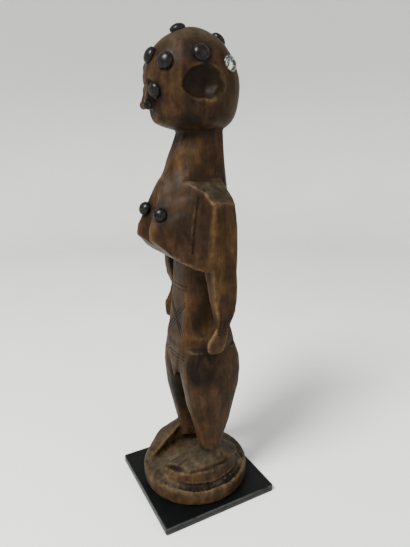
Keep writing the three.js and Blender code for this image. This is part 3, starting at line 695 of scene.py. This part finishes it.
def pale_stage(settings):
    """Plain pale board with the faintest clouds, painted darker higher up as painted shade."""
    material, tree, shader = empty_material("pale_stage", settings.pale, 0.85)
    places = object_places(tree)
    darker = tuple(CLOUD_SHADE * part for part in settings.pale)
    colour = mixed(tree, ramped(tree, cloudy(tree, places, 3, 3, 0.5), 0.3, 0.7), opaque(darker),
                   opaque(settings.pale))
    height = add_node(tree, "ShaderNodeSeparateXYZ", {0: places}).outputs["Z"]
    # Painted shade: the wall darker higher up.
    colour = mixed(tree, ramped(tree, height, 0.06, 0.62), colour, opaque(settings.shaded_upper_pale))
    tree.links.new(colour, shader.inputs["Base Color"])
    return material


def add_piece(name, mesh, material=None):
    """A mesh object at the origin, with its material where one is given."""
    piece = bpy.data.objects.new(name, mesh)
    bpy.context.scene.collection.objects.link(piece)
    if material:
        mesh.materials.clear()
        mesh.materials.append(material)
    return piece


def settle(piece):
    """Makes the piece's modifiers part of a plain mesh."""
    graph = bpy.context.evaluated_depsgraph_get()
    mesh = bpy.data.meshes.new_from_object(piece.evaluated_get(graph))
    piece.modifiers.clear()
    piece.data = mesh


def points_of(mesh):
    points = np.empty(len(mesh.vertices) * 3)
    mesh.vertices.foreach_get("co", points)
    return points.reshape(-1, 3)


def normals_of(mesh):
    normals = np.empty(len(mesh.vertices) * 3)
    mesh.vertex_normals.foreach_get("vector", normals)
    return normals.reshape(-1, 3)


def edges_of(mesh):
    edges = np.empty(len(mesh.edges) * 2, dtype=np.int64)
    mesh.edges.foreach_get("vertices", edges)
    return edges.reshape(-1, 2)


def move_points(mesh, points):
    mesh.vertices.foreach_set("co", points.ravel())
    mesh.update()


def softened(values, edges, rounds, share=0.5):
    """Each point's values drawn towards its neighbours' mean, several times over."""
    values = values.reshape(len(values), -1).astype(float)
    start, end = edges[:, 0], edges[:, 1]
    points = len(values)
    neighbours = np.bincount(edges.ravel(), minlength=points)[:, None]
    for _ in range(rounds):
        total = np.column_stack([
            np.bincount(start, column[end], points) + np.bincount(end, column[start], points)
            for column in values.T
        ])
        values = values + share * (total / neighbours - values)
    return values.squeeze()


def risen(values, start, full):
    """0 before a start and 1 past where it is full, with an even rise between the two."""
    return np.clip((values - start) / (full - start), 0, 1)


def paint_points(mesh, name, values):
    attribute = mesh.attributes.new(name, "FLOAT", "POINT")
    attribute.data.foreach_set("value", np.clip(values, 0, 1).astype(np.float32))


@contextmanager
def opened(mesh):
    """A mesh opened for reshaping, and closed again afterwards."""
    shape = bmesh.new()
    shape.from_mesh(mesh)
    shape.verts.ensure_lookup_table()
    yield shape
    shape.to_mesh(mesh)
    shape.free()
    mesh.update()


def ringed_mesh(name, rings, closed_start=True):
    """A smooth mesh of rings of places joined up, filled at its end and maybe at its start."""
    shape = bmesh.new()
    rings = [[shape.verts.new(place) for place in ring] for ring in rings]
    for lower, upper in zip(rings, rings[1:]):
        for index in range(len(lower)):
            after = (index + 1) % len(lower)
            shape.faces.new((lower[index], lower[after], upper[after], upper[index]))
    if closed_start:
        shape.faces.new(rings[0][::-1])
    shape.faces.new(rings[-1])
    mesh = bpy.data.meshes.new(name)
    shape.to_mesh(mesh)
    shape.free()
    mesh.shade_smooth()
    return mesh


def main_shell(mesh):
    """Keeps the mesh's largest closed shell, without specks left inside the wood."""
    with opened(mesh) as shape:
        left = set(shape.verts)
        shells = []
        while left:
            shell = [left.pop()]
            for point in shell:
                for edge in point.link_edges:
                    other = edge.other_vert(point)
                    if other in left:
                        left.discard(other)
                        shell.append(other)
            shells.append(shell)
        shells.sort(key=len)
        for shell in shells[:-1]:
            bmesh.ops.delete(shape, geom=shell, context="VERTS")


def even_skin(settings, material):
    """The figure's solid as one closed skin of small even faces."""
    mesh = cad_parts["carved_figure"].data.copy()
    with opened(mesh) as shape:
        bmesh.ops.remove_doubles(shape, verts=shape.verts, dist=MERGE_DISTANCE)
    piece = add_piece("carved_figure_wood", mesh, material)
    remesh = piece.modifiers.new("even_skin", "REMESH")
    remesh.mode = "VOXEL"
    remesh.voxel_size = settings.skin_size
    settle(piece)
    piece.data.materials.clear()
    piece.data.materials.append(material)
    main_shell(piece.data)
    return piece


def cut_distance(points, first, second):
    """Each point's distance in a plane from the line between two places."""
    first, second = np.array(first), np.array(second)
    along = second - first
    share = np.clip((points - first) @ along / (along @ along), 0, 1)
    return np.linalg.norm(points - first - share[:, None] * along, axis=1)


def face_distance(points, normals, side, axis, lines, start):
    """Distance from cut lines to the points that face one way past a start, else far away."""
    flat = points[:, [other for other in range(3) if other != axis]]
    faces_it = (normals[:, axis] * side > FACING_OUT) & (points[:, axis] * side > start * MM)
    distance = np.full(len(points), FAR_AWAY)
    for line in lines:
        ends = [(across * MM, up * MM + UNDERSIDE) for across, up in line]
        distance = np.minimum(distance, cut_distance(flat, *ends))
    return np.where(faces_it, distance, FAR_AWAY)


def wrist_lines(lift):
    """A small grid of cuts round the wrist, seen from the side."""
    past_ridges, past_heights = WRIST_OVERSHOOT
    front, back = WRIST_RIDGES[0] - past_ridges, WRIST_RIDGES[-1] + past_ridges
    low, high = WRIST_HEIGHTS[0] - past_heights, WRIST_HEIGHTS[-1] + past_heights
    level = [((front, height + lift), (back, height + lift)) for height in WRIST_HEIGHTS]
    upright = [((place, low + lift), (place, high + lift)) for place in WRIST_RIDGES]
    return level + upright


def crease_share(points, half_width, places):
    """How far each point is inside a crease through some places, 0 to 1."""
    ends = [on_figure(*place) for place in places]
    pairs = zip(ends, ends[1:])
    distance = np.minimum.reduce([cut_distance(points, *pair) for pair in pairs])
    return np.exp(-(distance / (half_width * MM)) ** 2)


def line_distance(points, normals):
    """The distance from each point to the nearest cut line."""
    return np.minimum.reduce([
        face_distance(points, normals, -1, 1, BELLY_LINES, BELLY_FACE),
        face_distance(points, normals, 1, 0, wrist_lines(0), WRIST_FACE),
        face_distance(points, normals, -1, 0, wrist_lines(RIGHT_WRIST_LIFT), WRIST_FACE),
    ])


def finer_where(mesh, chosen):
    """Halves the faces round the chosen points."""
    with opened(mesh) as shape:
        edges = [edge for edge in shape.edges if all(chosen[end.index] for end in edge.verts)]
        bmesh.ops.subdivide_edges(shape, edges=edges, cuts=1, use_grid_fill=True)


def cell_distances(points, cell):
    """The distances from each point to its nearest and next cell middles, in cells."""
    return np.array([noise.voronoi(Vector(place))[0][:2] for place in points / cell])


def knife_facets(points):
    """Shallow overlapping knife cuts, long down the grain: 0 in a cut's middle to 1 at its rim."""
    return np.minimum(cell_distances(points, np.array(KNIFE_CUT) * MM)[:, 0], 1)


def rough_chips(points):
    """Small irregular chips, 0 to 1."""
    near, next_near = cell_distances(points, CHIP_SIZE).T
    return np.minimum(next_near - near, 1)


def in_channel(points):
    """How far each point is inside the rough stretch beside the left foot, 0 to 1."""
    reach = np.hypot(points[:, 0], points[:, 1])
    turn = np.arctan2(points[:, 1], points[:, 0])
    height = (points[:, 2] - UNDERSIDE) / MM
    inside = (reach > CHIPS_INNER) & (reach < CHIPS_OUTER)
    inside &= (height > CHIPS_LOW) & (height < CHIPS_HIGH)
    ends = risen(turn, CHIPS_FROM, CHIPS_FROM + CHIPS_FADE)
    return inside * ends * risen(turn, CHIPS_TO, CHIPS_TO - CHIPS_FADE)


def toe_hollow(points):
    """How far each point is inside the chipped hollow at the left toe, 0 to 1."""
    first, second = (on_figure(*end) for end in TOE_HOLLOW)
    half = (second - first) / 2
    away = points - (first + second) / 2
    along = away @ half / (half @ half)
    across = np.linalg.norm(away - along[:, None] * half, axis=1) / (TOE_HOLLOW_HALF_WIDTH * MM)
    return np.clip(1 - along ** 2 - across ** 2, 0, 1)


def fan_grooves(points):
    """The faint grooves that fan out over the left foot, 0 to 1."""
    away = points[:, :2] - np.array(FAN_MIDDLE) * MM
    turn = np.arctan2(away[:, 1], away[:, 0])
    height = (points[:, 2] - UNDERSIDE) / MM
    share = risen(height, FAN_LOW, FAN_LOW + FAN_FADE)
    share = share * risen(height, FAN_HIGH, FAN_HIGH - FAN_FADE)
    waves = 0.5 + 0.5 * np.cos(turn * FAN_GROOVES)
    return share * ((turn > FAN_FROM) & (turn < FAN_TO)) * waves ** FAN_SHARPNESS


def wandering(points):
    """Slow uneven swells of hand-cut wood, about -1 to 1."""
    return np.array([noise.noise(Vector(place)) for place in points / SWELL_SIZE])


def ear_places(points):
    """Each point's place on the ear of its side, in millimetres: outwards, along and up."""
    figure = points / MM - np.array([0, 0, UNDERSIDE / MM])
    figure[:, 0] = np.abs(figure[:, 0])
    away = figure - np.array(EAR_MIDDLE)
    out = away[:, 0] * math.cos(EAR_TURN) - away[:, 1] * math.sin(EAR_TURN)
    along = away[:, 0] * math.sin(EAR_TURN) + away[:, 1] * math.cos(EAR_TURN)
    return out, along, away[:, 2]


def oval_share(along, up, middle, half_sizes):
    """How far out of an oval each place is: 0 in its middle and 1 on its outline."""
    return np.hypot((along - middle[0]) / half_sizes[0], (up - middle[1]) / half_sizes[1])


def ear_marks(points):
    """The ear's hollow, the pit in it and its raised rim, each 0 to 1."""
    out, along, up = ear_places(points)
    beside = (out > EAR_INNER) & (out < EAR_OUTER)
    shell = oval_share(along, up, (0, 0), EAR_HALF_SIZES)
    hollow = oval_share(along, up, EAR_HOLLOW_MIDDLE, EAR_HOLLOW_HALF_SIZES)
    turn = np.arctan2(up - EAR_HOLLOW_MIDDLE[1], along - EAR_HOLLOW_MIDDLE[0])
    for waves, start, height in EAR_WAVES:
        hollow = hollow + height * np.sin(waves * turn + start)
    pit = oval_share(along, up, EAR_PIT_MIDDLE, EAR_PIT_HALF_SIZES)
    rim = np.exp(-((shell - EAR_RIM_PLACE) / EAR_RIM_WIDTH) ** 2) * (hollow > 1) * (out > 1)
    rim = rim * risen(up, *EAR_RIM_UP) * risen(along, *EAR_RIM_ALONG)
    return risen(hollow, *EAR_HOLLOW_EDGE) * beside, np.exp(-pit ** 2) * beside, rim


def ear_shell(points):
    """1 on an ear and just around it, else 0."""
    out, along, up = ear_places(points)
    reach = oval_share(along, up, (0, 0), EAR_HALF_SIZES)
    return risen(reach, *EAR_SURROUND) * (out > EAR_INNER)


def place_weight(points, centre, half_sizes):
    """1 at a soft ellipsoid's middle, falling to 0 past its surface."""
    away = (points - on_figure(*centre)) / (np.array(half_sizes) * MM)
    return np.exp(-PLACE_FALLOFF * (away ** 2).sum(axis=1))


def summed_places(points, table):
    total = np.zeros(len(points))
    for _, centre, half_sizes, strength in table:
        total = total + strength * place_weight(points, centre, half_sizes)
    return total


def dark_halos(points):
    """Grime round the tacks: 1 at a rim, fading out over a few millimetres."""
    total = np.zeros(len(points))
    for node in DARK_TACKS:
        seat = tack_seat(node)
        away = np.linalg.norm(points - np.array(seat.place), axis=1) - seat.radius
        total = np.maximum(total, np.exp(-np.clip(away, 0, None) / DARK_HALO))
    return total


def sharp_edges(points, close, shaded):
    """How bright each point's edge is painted, 0 to 1, for rubbed wear and painted highlights, and
    less where it is shaded.
    """
    edge = risen(close, *SHARP_EDGE) * (1 - EAR_EDGE_LOSS * ear_shell(points))
    edge = edge * (1 - DARK_EDGE_LOSS * np.clip(shaded, 0, 1))
    for _, half_width, places in BRIGHT_LINES:
        edge = np.maximum(edge, BRIGHT_LINE_SHARE * crease_share(points, half_width, places))
    return edge


def paint_wood_and_light_marks(mesh, cuts):
    """Marks the rubbed, dark and dusty places on the skin for the wood material, with their painted
    highlights and painted shade.
    """
    points, normals, edges = points_of(mesh), normals_of(mesh), edges_of(mesh)
    close, wide = (((points - softened(points, edges, rounds)) * normals).sum(axis=1) / MM
                   for rounds in (CLOSE_ROUNDS, WIDE_ROUNDS))
    up = risen(normals[:, 2], *FACING_UP)
    height = (points[:, 2] - UNDERSIDE) / MM
    low_down = height < FOOT_TOP
    dusty = low_down | ((height > ROOF_LOW) & (height < ROOF_HIGH))
    dark_places = summed_places(points, DARK_PLACES)
    # The ear's hollow is painted dark red, partly the wood's red and partly painted shade, and its
    # pit dark as painted shade.
    ear_hollow, ear_pit, _ = ear_marks(points)
    marks = {
        "worn and lit places": summed_places(points, WORN_AND_LIT_PLACES),
        "dark places": dark_places,
        "halos": dark_halos(points),
        "cuts": cuts,
        "ear hollow": ear_hollow,
        "ear pit": ear_pit,
        # Painted shade of the cleft beside the nose.
        "cleft": place_weight(points, *NOSE_CLEFT_SHADE) * (normals[:, 1] < -FACING_FRONT),
        "edge": sharp_edges(points, close, dark_places + ear_hollow),
        "sharp hollow": risen(-close, *SHARP_HOLLOW),
        "swell": risen(wide, *WIDE_SWELL),
        "wide hollow": risen(-wide, *WIDE_HOLLOW) * np.where(low_down, FOOT_HOLLOWS, OTHER_HOLLOWS),
        "settled dust and light": up * summed_places(points, DUST_AND_LIGHT_PLACES),
        "dust": up * np.where(dusty, 1.0, OTHER_DUST) + FOOT_DUST * low_down,
    }
    for paint, shares in PAINTS.items():
        paint_points(mesh, paint, sum(share * marks[mark] for mark, share in shares.items()))


# Where a tack sits: the middle of its rim, the way it points, and its sizes in metres.
TackSeat = namedtuple("TackSeat", "place axis radius rise shank")
# The points of a rim are past this share of its radius, and a spike is at least this long.
RIM_REACH = 0.98
LEAST_SHANK = 0.5 * MM


def tack_seat(node):
    """Reads a tack's seat from its solid, whose flat underside is its largest flat."""
    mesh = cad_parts[node].data
    flats = {}
    for face in mesh.polygons:
        key = tuple(round(part, 2) for part in face.normal)
        flats[key] = flats.get(key, Vector((0, 0, 0))) + face.normal * face.area
    axis = -max(flats.values(), key=lambda flat: flat.length).normalized()
    corners = [point.co for point in mesh.vertices]
    heights = [corner.dot(axis) for corner in corners]
    crown = corners[heights.index(max(heights))]
    tip = corners[heights.index(min(heights))]
    middle = (crown + tip) / 2
    away = [corner - middle for corner in corners]
    reaches = [(offset - axis * offset.dot(axis)).length for offset in away]
    radius = max(reaches)
    rim = min(height for height, reach in zip(heights, reaches) if reach > RIM_REACH * radius)
    place = middle + axis * (rim - middle.dot(axis))
    return TackSeat(place, axis, radius, max(heights) - rim, rim - min(heights))


TACK_INPUTS = (
    ("Segments", "Int"),
    ("Radius", "Float"),
    ("Rise", "Float"),
    ("Shank", "Float"),
    ("Axis", "Vector"),
    ("Hollow", "Float"),
    ("Dents", "Float"),
    ("Dent Size", "Float"),
    ("Metal", "Material"),
)
# Shares of a tack's radius: its spike's thickness and its rim's. The cup in a nostril nail
# falls off from its middle. Where the noise for the dents has their level, the dome stays as it is.
SHANK_SHARE = 0.17
RIM_SHARE = 0.12
SHANK_TIP = 0.1 * MM
SHANK_SIDES = 16
CUP_FALLOFF = -6.0
DENT_LEVEL = 0.62
DENT_DETAIL = 1.5
DENT_SIZE = 1.6 * MM
WORN_DENT_SIZE = 2.6 * MM


def tack_tree():
    """Geometry nodes that put a domed, dented head with its spike on each point."""
    tree = bpy.data.node_groups.new("domed_tack", "GeometryNodeTree")
    for direction in ("INPUT", "OUTPUT"):
        tree.interface.new_socket("Geometry", in_out=direction,
                                  socket_type="NodeSocketGeometry")
    for name, kind in TACK_INPUTS:
        tree.interface.new_socket(name, in_out="INPUT", socket_type="NodeSocket" + kind)
    given = tree.nodes.new("NodeGroupInput").outputs
    radius = given["Radius"]
    result = tree.nodes.new("NodeGroupOutput")

    ball = add_node(tree, "GeometryNodeMeshUVSphere",
                    {"Segments": given["Segments"], "Rings": given["Segments"], "Radius": 1.0})
    place = add_node(tree, "GeometryNodeInputPosition").outputs[0]
    x, y, z = add_node(tree, "ShaderNodeSeparateXYZ", {0: place}).outputs
    lower = reckoned(tree, "MAXIMUM", z, -RIM_SHARE)
    above = reckoned(tree, "MAXIMUM", lower, 0.0)
    below = reckoned(tree, "MINIMUM", lower, 0.0)
    reach = reckoned(tree, "MULTIPLY_ADD", x, x, times(tree, y, y))
    cup = reckoned(tree, "POWER", math.e, times(tree, reach, CUP_FALLOFF))
    cup = times(tree, cup, given["Hollow"])
    cup = times(tree, cup, reckoned(tree, "GREATER_THAN", above, 0.0))
    height = reckoned(tree, "ADD", times(tree, above, given["Rise"]), times(tree, below, radius))
    height = reckoned(tree, "SUBTRACT", height, cup)
    formed = add_node(tree, "ShaderNodeCombineXYZ",
                      {0: times(tree, x, radius), 1: times(tree, y, radius), 2: height})
    head = add_node(tree, "GeometryNodeSetPosition",
                    {"Geometry": ball.outputs[0], "Position": formed.outputs[0]})

    spike = add_node(tree, "GeometryNodeMeshCone",
                     {"Vertices": SHANK_SIDES, "Radius Top": SHANK_TIP,
                      "Radius Bottom": times(tree, radius, SHANK_SHARE), "Depth": given["Shank"]})
    turned = add_node(tree, "GeometryNodeTransform",
                      {"Geometry": spike.outputs[0], "Rotation": (math.pi, 0.0, 0.0)})
    tack = add_node(tree, "GeometryNodeJoinGeometry")
    tree.links.new(head.outputs[0], tack.inputs[0])
    tree.links.new(turned.outputs[0], tack.inputs[0])

    turn = add_node(tree, "FunctionNodeAlignRotationToVector", {"Vector": given["Axis"]}, axis="Z")
    spread = add_node(tree, "GeometryNodeInstanceOnPoints",
                      {"Points": given["Geometry"], "Instance": tack.outputs[0],
                       "Rotation": turn.outputs[0]})
    real = add_node(tree, "GeometryNodeRealizeInstances", {0: spread.outputs[0]})
    dent = add_node(tree, "ShaderNodeTexNoise",
                    {"Scale": reckoned(tree, "DIVIDE", 1.0, given["Dent Size"]),
                     "Detail": DENT_DETAIL})
    depth = reckoned(tree, "SUBTRACT", dent.outputs[0], DENT_LEVEL)
    normal = add_node(tree, "GeometryNodeInputNormal").outputs[0]
    push = add_node(tree, "ShaderNodeVectorMath",
                    {0: normal, "Scale": times(tree, depth, given["Dents"])}, operation="SCALE")
    forged = add_node(tree, "GeometryNodeSetPosition",
                      {"Geometry": real.outputs[0], "Offset": push.outputs[0]})
    smooth = add_node(tree, "GeometryNodeSetShadeSmooth", {"Geometry": forged.outputs[0]})
    coated = add_node(tree, "GeometryNodeSetMaterial",
                      {"Geometry": smooth.outputs[0], "Material": given["Metal"]})
    tree.links.new(coated.outputs[0], result.inputs[0])
    return tree


def socket_of(tree, name):
    """The identifier of the tree's input with this name."""
    for item in tree.interface.items_tree:
        if item.name == name and item.in_out == "INPUT":
            return item.identifier
    raise KeyError(name)


def drive_tack(tree, node, values):
    """One forged tack in its hole, standing for its solid."""
    seat = tack_seat(node)
    mesh = bpy.data.meshes.new(node)
    mesh.from_pydata([seat.place], [], [])
    piece = add_piece(node + "_metal", mesh)
    modifier = piece.modifiers.new("forged", "NODES")
    modifier.node_group = tree
    given = {"Radius": seat.radius, "Rise": seat.rise, "Axis": seat.axis,
             "Shank": max(seat.shank, LEAST_SHANK), **values}
    for name, value in given.items():
        modifier[socket_of(tree, name)] = value
    settle(piece)
    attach(piece, "root")
    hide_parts(node)


CORNER_STEPS = 5
SIDE_STEPS = 36
# The plate's worn edge is dented inwards a little, in slow waves, where it is worn more than this.
EDGE_DENT = 0.12 * MM
EDGE_WAVE = 7 * MM
DENTED_WEAR = 0.5
# Faces of the plate that meet at more than this turn keep a sharp edge.
SHARP_TURN = math.radians(50)
QUARTER = math.radians(90)


def plate_outline(inset, radius):
    """Points round the plate, inset from its edge, with rounded corners."""
    half = (PLATE_HIGH.x - PLATE_LOW.x) / 2 - radius
    outline = []
    for corner in range(4):
        turn = QUARTER * corner
        middle = Matrix.Rotation(turn, 2) @ Vector((half, half))
        for step in range(CORNER_STEPS + 1):
            angle = turn + QUARTER * step / CORNER_STEPS
            outline.append(middle + Vector((math.cos(angle), math.sin(angle))) * (radius - inset))
        start = outline[-1]
        end = Matrix.Rotation(turn + QUARTER, 2) @ Vector((half + radius - inset, half))
        outline += [start.lerp(end, step / SIDE_STEPS) for step in range(1, SIDE_STEPS)]
    return outline


def plate_mesh(settings):
    """The plate with rounded corners and softly worn, slightly uneven edges."""
    edge = settings.edge_radius
    bend = edge * (1 - math.sqrt(0.5))
    bottom, top = PLATE_LOW.z, PLATE_HIGH.z
    # Each level's inset from the plate's side, its height and its wear, which also lays painted
    # reflection on the rounded edges.
    levels = (
        (edge, bottom, 0.3), (bend, bottom + bend, 1), (0, bottom + edge, 0.8),
        (0, (bottom + top) / 2, 0.2), (0, top - edge, 0.6), (bend, top - bend, 0.8),
        (edge, top, 0.3), (2 * edge, top, 0.05), (3 * edge, top, 0),
    )
    rings, rubbed = [], []
    for inset, height, wear in levels:
        ring = []
        for place in plate_outline(inset, settings.corner_radius):
            wave = noise.noise(Vector((place.x, place.y, height)) / EDGE_WAVE)
            dent = EDGE_DENT * min(0, wave) * (wear > DENTED_WEAR)
            ring.append((*(place * (1 + dent / place.length)), height))
            rubbed.append(wear)
        rings.append(ring)
    mesh = ringed_mesh("display_plate_painted", rings)
    paint_points(mesh, "rubbed", np.array(rubbed))
    mesh.set_sharp_from_angle(angle=SHARP_TURN)
    return mesh


def refine_skin(mesh):
    """Makes the skin's faces small enough for its creases and its cut lines."""
    points = points_of(mesh)
    near = np.zeros(len(points), dtype=bool)
    for _, half_width, _, places in CREASES:
        near |= crease_share(points, 2 * half_width, places) > CREASE_LEAST_SHARE
    finer_where(mesh, near)
    for _ in range(LINE_ROUNDS):
        finer_where(mesh, line_distance(points_of(mesh), normals_of(mesh)) < LINE_REACH)


def smooth_skin(mesh):
    """Rubs the skin's steps away, and then gives back the bulk that this takes off."""
    points, edges = points_of(mesh), edges_of(mesh)
    rubbed = np.clip(summed_places(points, SMOOTHED_PLACES), 0, 1)[:, None]
    points = points + rubbed * (softened(points, edges, SMOOTHED_ROUNDS) - points)
    points = softened(points, edges, STEP_ROUNDS)
    move_points(mesh, softened(points, edges, STEP_ROUNDS, BULK_BACK))


def cut_skin(mesh, settings):
    """Cuts all its marks into the skin, and gives how far each point is in a cut, 0 to 1."""
    points, normals = points_of(mesh), normals_of(mesh)
    cuts = np.exp(-(line_distance(points, normals) / LINE_WIDTH) ** 2)
    chipped = 1 - rough_chips(points)
    channel, toe = in_channel(points), toe_hollow(points)
    ear_hollow, ear_pit, ear_rim = ear_marks(points)
    depth = (1 - knife_facets(points)) * settings.tool_mark_depth
    depth += wandering(points) * settings.unevenness
    depth += cuts * settings.line_depth
    for _, half_width, crease_depth, places in CREASES:
        share = crease_share(points, half_width, places)
        depth += share * crease_depth * MM
        cuts = np.maximum(cuts, CREASE_GRIME * share)
    depth += (channel + toe) * (CHIPS_FLOOR + chipped) * settings.chip_depth
    depth += fan_grooves(points) * settings.groove_depth
    depth += ear_hollow * (EAR_HOLLOW_DEPTH + chipped * EAR_CHIP_DEPTH)
    depth += ear_pit * EAR_PIT_DEPTH - ear_rim * EAR_RIM_HEIGHT
    move_points(mesh, points - normals * depth[:, None])
    chips = np.maximum(channel * (0.5 + 0.5 * chipped), TOE_HOLLOW_GRIME * toe)
    return np.maximum(cuts, chips)


class FIGURE_OT_carve_wood(bpy.types.Operator):
    """Make the figure's carved skin, cut its lines and paint its patina, painted highlights and
    painted shade
    """

    bl_idname = "tacked_figure.carve_wood"
    bl_label = "Carve the Wood"

    def execute(self, context):
        settings = context.scene.tacked_figure_wood
        piece = even_skin(settings, aged_wood(settings))
        refine_skin(piece.data)
        smooth_skin(piece.data)
        paint_wood_and_light_marks(piece.data, cut_skin(piece.data, settings))
        piece.data.shade_smooth()
        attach(piece, "root")
        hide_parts("carved_figure")
        return {"FINISHED"}


class FIGURE_OT_drive_tacks(bpy.types.Operator):
    """Forge the dark tacks, the worn tack and the nostril nails and drive them in"""

    bl_idname = "tacked_figure.drive_tacks"
    bl_label = "Drive the Tacks"

    def execute(self, context):
        settings = context.scene.tacked_figure_tacks
        tree = tack_tree()
        iron = blackened_iron(settings)
        common = {"Segments": settings.segments, "Hollow": 0.0, "Dents": settings.hammering,
                  "Dent Size": DENT_SIZE, "Metal": iron}
        for node in DARK_TACKS:
            drive_tack(tree, node, common)
        worn = {**common, "Dents": settings.worn_dents, "Dent Size": WORN_DENT_SIZE,
                "Metal": worn_metal(settings)}
        for node in WORN_TACKS:
            drive_tack(tree, node, worn)
        nail = {**common, "Hollow": settings.nostril_hollow}
        for node in NOSTRIL_NAILS:
            drive_tack(tree, node, nail)
        return {"FINISHED"}


class FIGURE_OT_paint_plate(bpy.types.Operator):
    """Make the black plate with its rubbed edges, their grey partly painted reflection"""

    bl_idname = "tacked_figure.paint_plate"
    bl_label = "Paint the Plate"

    def execute(self, context):
        settings = context.scene.tacked_figure_plate
        piece = add_piece("display_plate_painted", plate_mesh(settings), black_paint(settings))
        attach(piece, "root")
        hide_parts("display_plate")
        return {"FINISHED"}


STAGE_STEPS = 96
BEND_STEPS = 14
BEND_RADIUS = 0.6
HUB_RADIUS = 0.02
# The lights: how many metres each one is to the left of the figure's middle, nearer than it and
# above it, how wide it is and its colour.
FIGURE_MIDDLE = (0, 0, 0.2)
LIGHTS = (
    ("key", (0.62, 0.66, 1.15), 0.55, (0.985, 1.0, 0.975)),
    ("fill", (-1.0, 0.8, 0.6), 1.2, (0.97, 0.985, 1.0)),
)
SKY_COLOUR = (0.95, 0.98, 1.0)


def stage_mesh(settings):
    """A round floor that turns up into a wall all round, filled at its hub."""
    outside = settings.floor_radius
    profile = [(outside + BEND_RADIUS, settings.wall_height)]
    for step in range(BEND_STEPS, -1, -1):
        turn = QUARTER * step / BEND_STEPS
        profile.append((outside + BEND_RADIUS * math.sin(turn), BEND_RADIUS * (1 - math.cos(turn))))
    profile += [(outside / 2, 0.0), (HUB_RADIUS, 0.0)]
    turns = [math.tau * step / STAGE_STEPS for step in range(STAGE_STEPS)]
    rings = [[(reach * math.cos(turn), reach * math.sin(turn), height) for turn in turns]
             for reach, height in profile]
    return ringed_mesh("pale_stage", rings, closed_start=False)


def camera_axes():
    """The camera's right, up and forward directions."""
    forward = Vector((-math.sin(CAMERA_YAW) * math.cos(CAMERA_PITCH),
                      math.cos(CAMERA_YAW) * math.cos(CAMERA_PITCH), -math.sin(CAMERA_PITCH)))
    level = Vector((math.cos(CAMERA_YAW), math.sin(CAMERA_YAW), 0))
    steep = level.cross(forward)
    right = level * math.cos(CAMERA_ROLL) + steep * math.sin(CAMERA_ROLL)
    up = steep * math.cos(CAMERA_ROLL) - level * math.sin(CAMERA_ROLL)
    return right, up, forward


def add_light(name, place, size, power, colour):
    """A round soft light that looks at the figure's middle."""
    lamp = bpy.data.lights.new(name, "AREA")
    lamp.shape = "DISK"
    lamp.size = size
    lamp.energy = power
    lamp.color = colour
    light = bpy.data.objects.new(name, lamp)
    light.location = place
    towards = Vector(FIGURE_MIDDLE) - place
    light.rotation_euler = towards.to_track_quat("-Z", "Y").to_euler()
    bpy.context.scene.collection.objects.link(light)


class FIGURE_OT_set_stage(bpy.types.Operator):
    """Add the pale stage, the soft lights and the camera"""

    bl_idname = "tacked_figure.set_stage"
    bl_label = "Set the Stage"

    def execute(self, context):
        settings = context.scene.tacked_figure_stage
        floor = add_piece("pale_stage", stage_mesh(settings), pale_stage(settings))

        right, up, forward = camera_axes()
        data = bpy.data.cameras.new("camera")
        data.lens = settings.lens
        data.sensor_width = CAMERA_SENSOR
        data.clip_start = 0.01
        camera = bpy.data.objects.new("camera", data)
        camera.matrix_world = Matrix((right, up, -forward)).transposed().to_4x4()
        camera.location = Vector(CAMERA_PLACE) * MM + Vector((0, 0, PLATE_HIGH.z))
        context.scene.collection.objects.link(camera)
        context.scene.camera = camera

        left = Vector((-right.x, -right.y, 0)).normalized()
        near = Vector((-forward.x, -forward.y, 0)).normalized()
        for name, (leftwards, nearer, upwards), size, colour in LIGHTS:
            place = Vector(FIGURE_MIDDLE) + left * leftwards + near * nearer
            place.z += upwards
            add_light(name, place, size, getattr(settings, name + "_power"), colour)
        world = bpy.data.worlds.new("soft_room")
        world.use_nodes = True
        background = world.node_tree.nodes["Background"]
        background.inputs["Color"].default_value = opaque(SKY_COLOUR)
        background.inputs["Strength"].default_value = settings.sky_strength
        context.scene.world = world
        return {"FINISHED"}


class FIGURE_PT_panel(bpy.types.Panel):
    """Lists the steps that dress the figure"""

    bl_label = "Tacked Figure"
    bl_idname = "FIGURE_PT_panel"
    bl_space_type = "VIEW_3D"
    bl_region_type = "UI"
    bl_category = "Tacked Figure"

    def draw(self, context):
        layout = self.layout
        for operator, group in STEPS:
            layout.operator(operator.bl_idname)
            box = layout.box()
            settings = getattr(context.scene, group)
            for name in settings.bl_rna.properties.keys():
                if name not in ("rna_type", "name"):
                    box.prop(settings, name)


STEPS = (
    (FIGURE_OT_carve_wood, "tacked_figure_wood"),
    (FIGURE_OT_drive_tacks, "tacked_figure_tacks"),
    (FIGURE_OT_paint_plate, "tacked_figure_plate"),
    (FIGURE_OT_set_stage, "tacked_figure_stage"),
)
GROUPS = (WoodSettings, TackSettings, PlateSettings, StageSettings)


def register():
    for group in GROUPS:
        bpy.utils.register_class(group)
    for (operator, name), group in zip(STEPS, GROUPS):
        bpy.utils.register_class(operator)
        setattr(bpy.types.Scene, name, bpy.props.PointerProperty(type=group))
    bpy.utils.register_class(FIGURE_PT_panel)


def unregister():
    bpy.utils.unregister_class(FIGURE_PT_panel)
    for operator, name in STEPS:
        delattr(bpy.types.Scene, name)
        bpy.utils.unregister_class(operator)
    for group in GROUPS:
        bpy.utils.unregister_class(group)


def main():
    register()
    bpy.ops.tacked_figure.carve_wood()
    bpy.ops.tacked_figure.drive_tacks()
    bpy.ops.tacked_figure.paint_plate()
    bpy.ops.tacked_figure.set_stage()


if __name__ == "__main__":
    main()
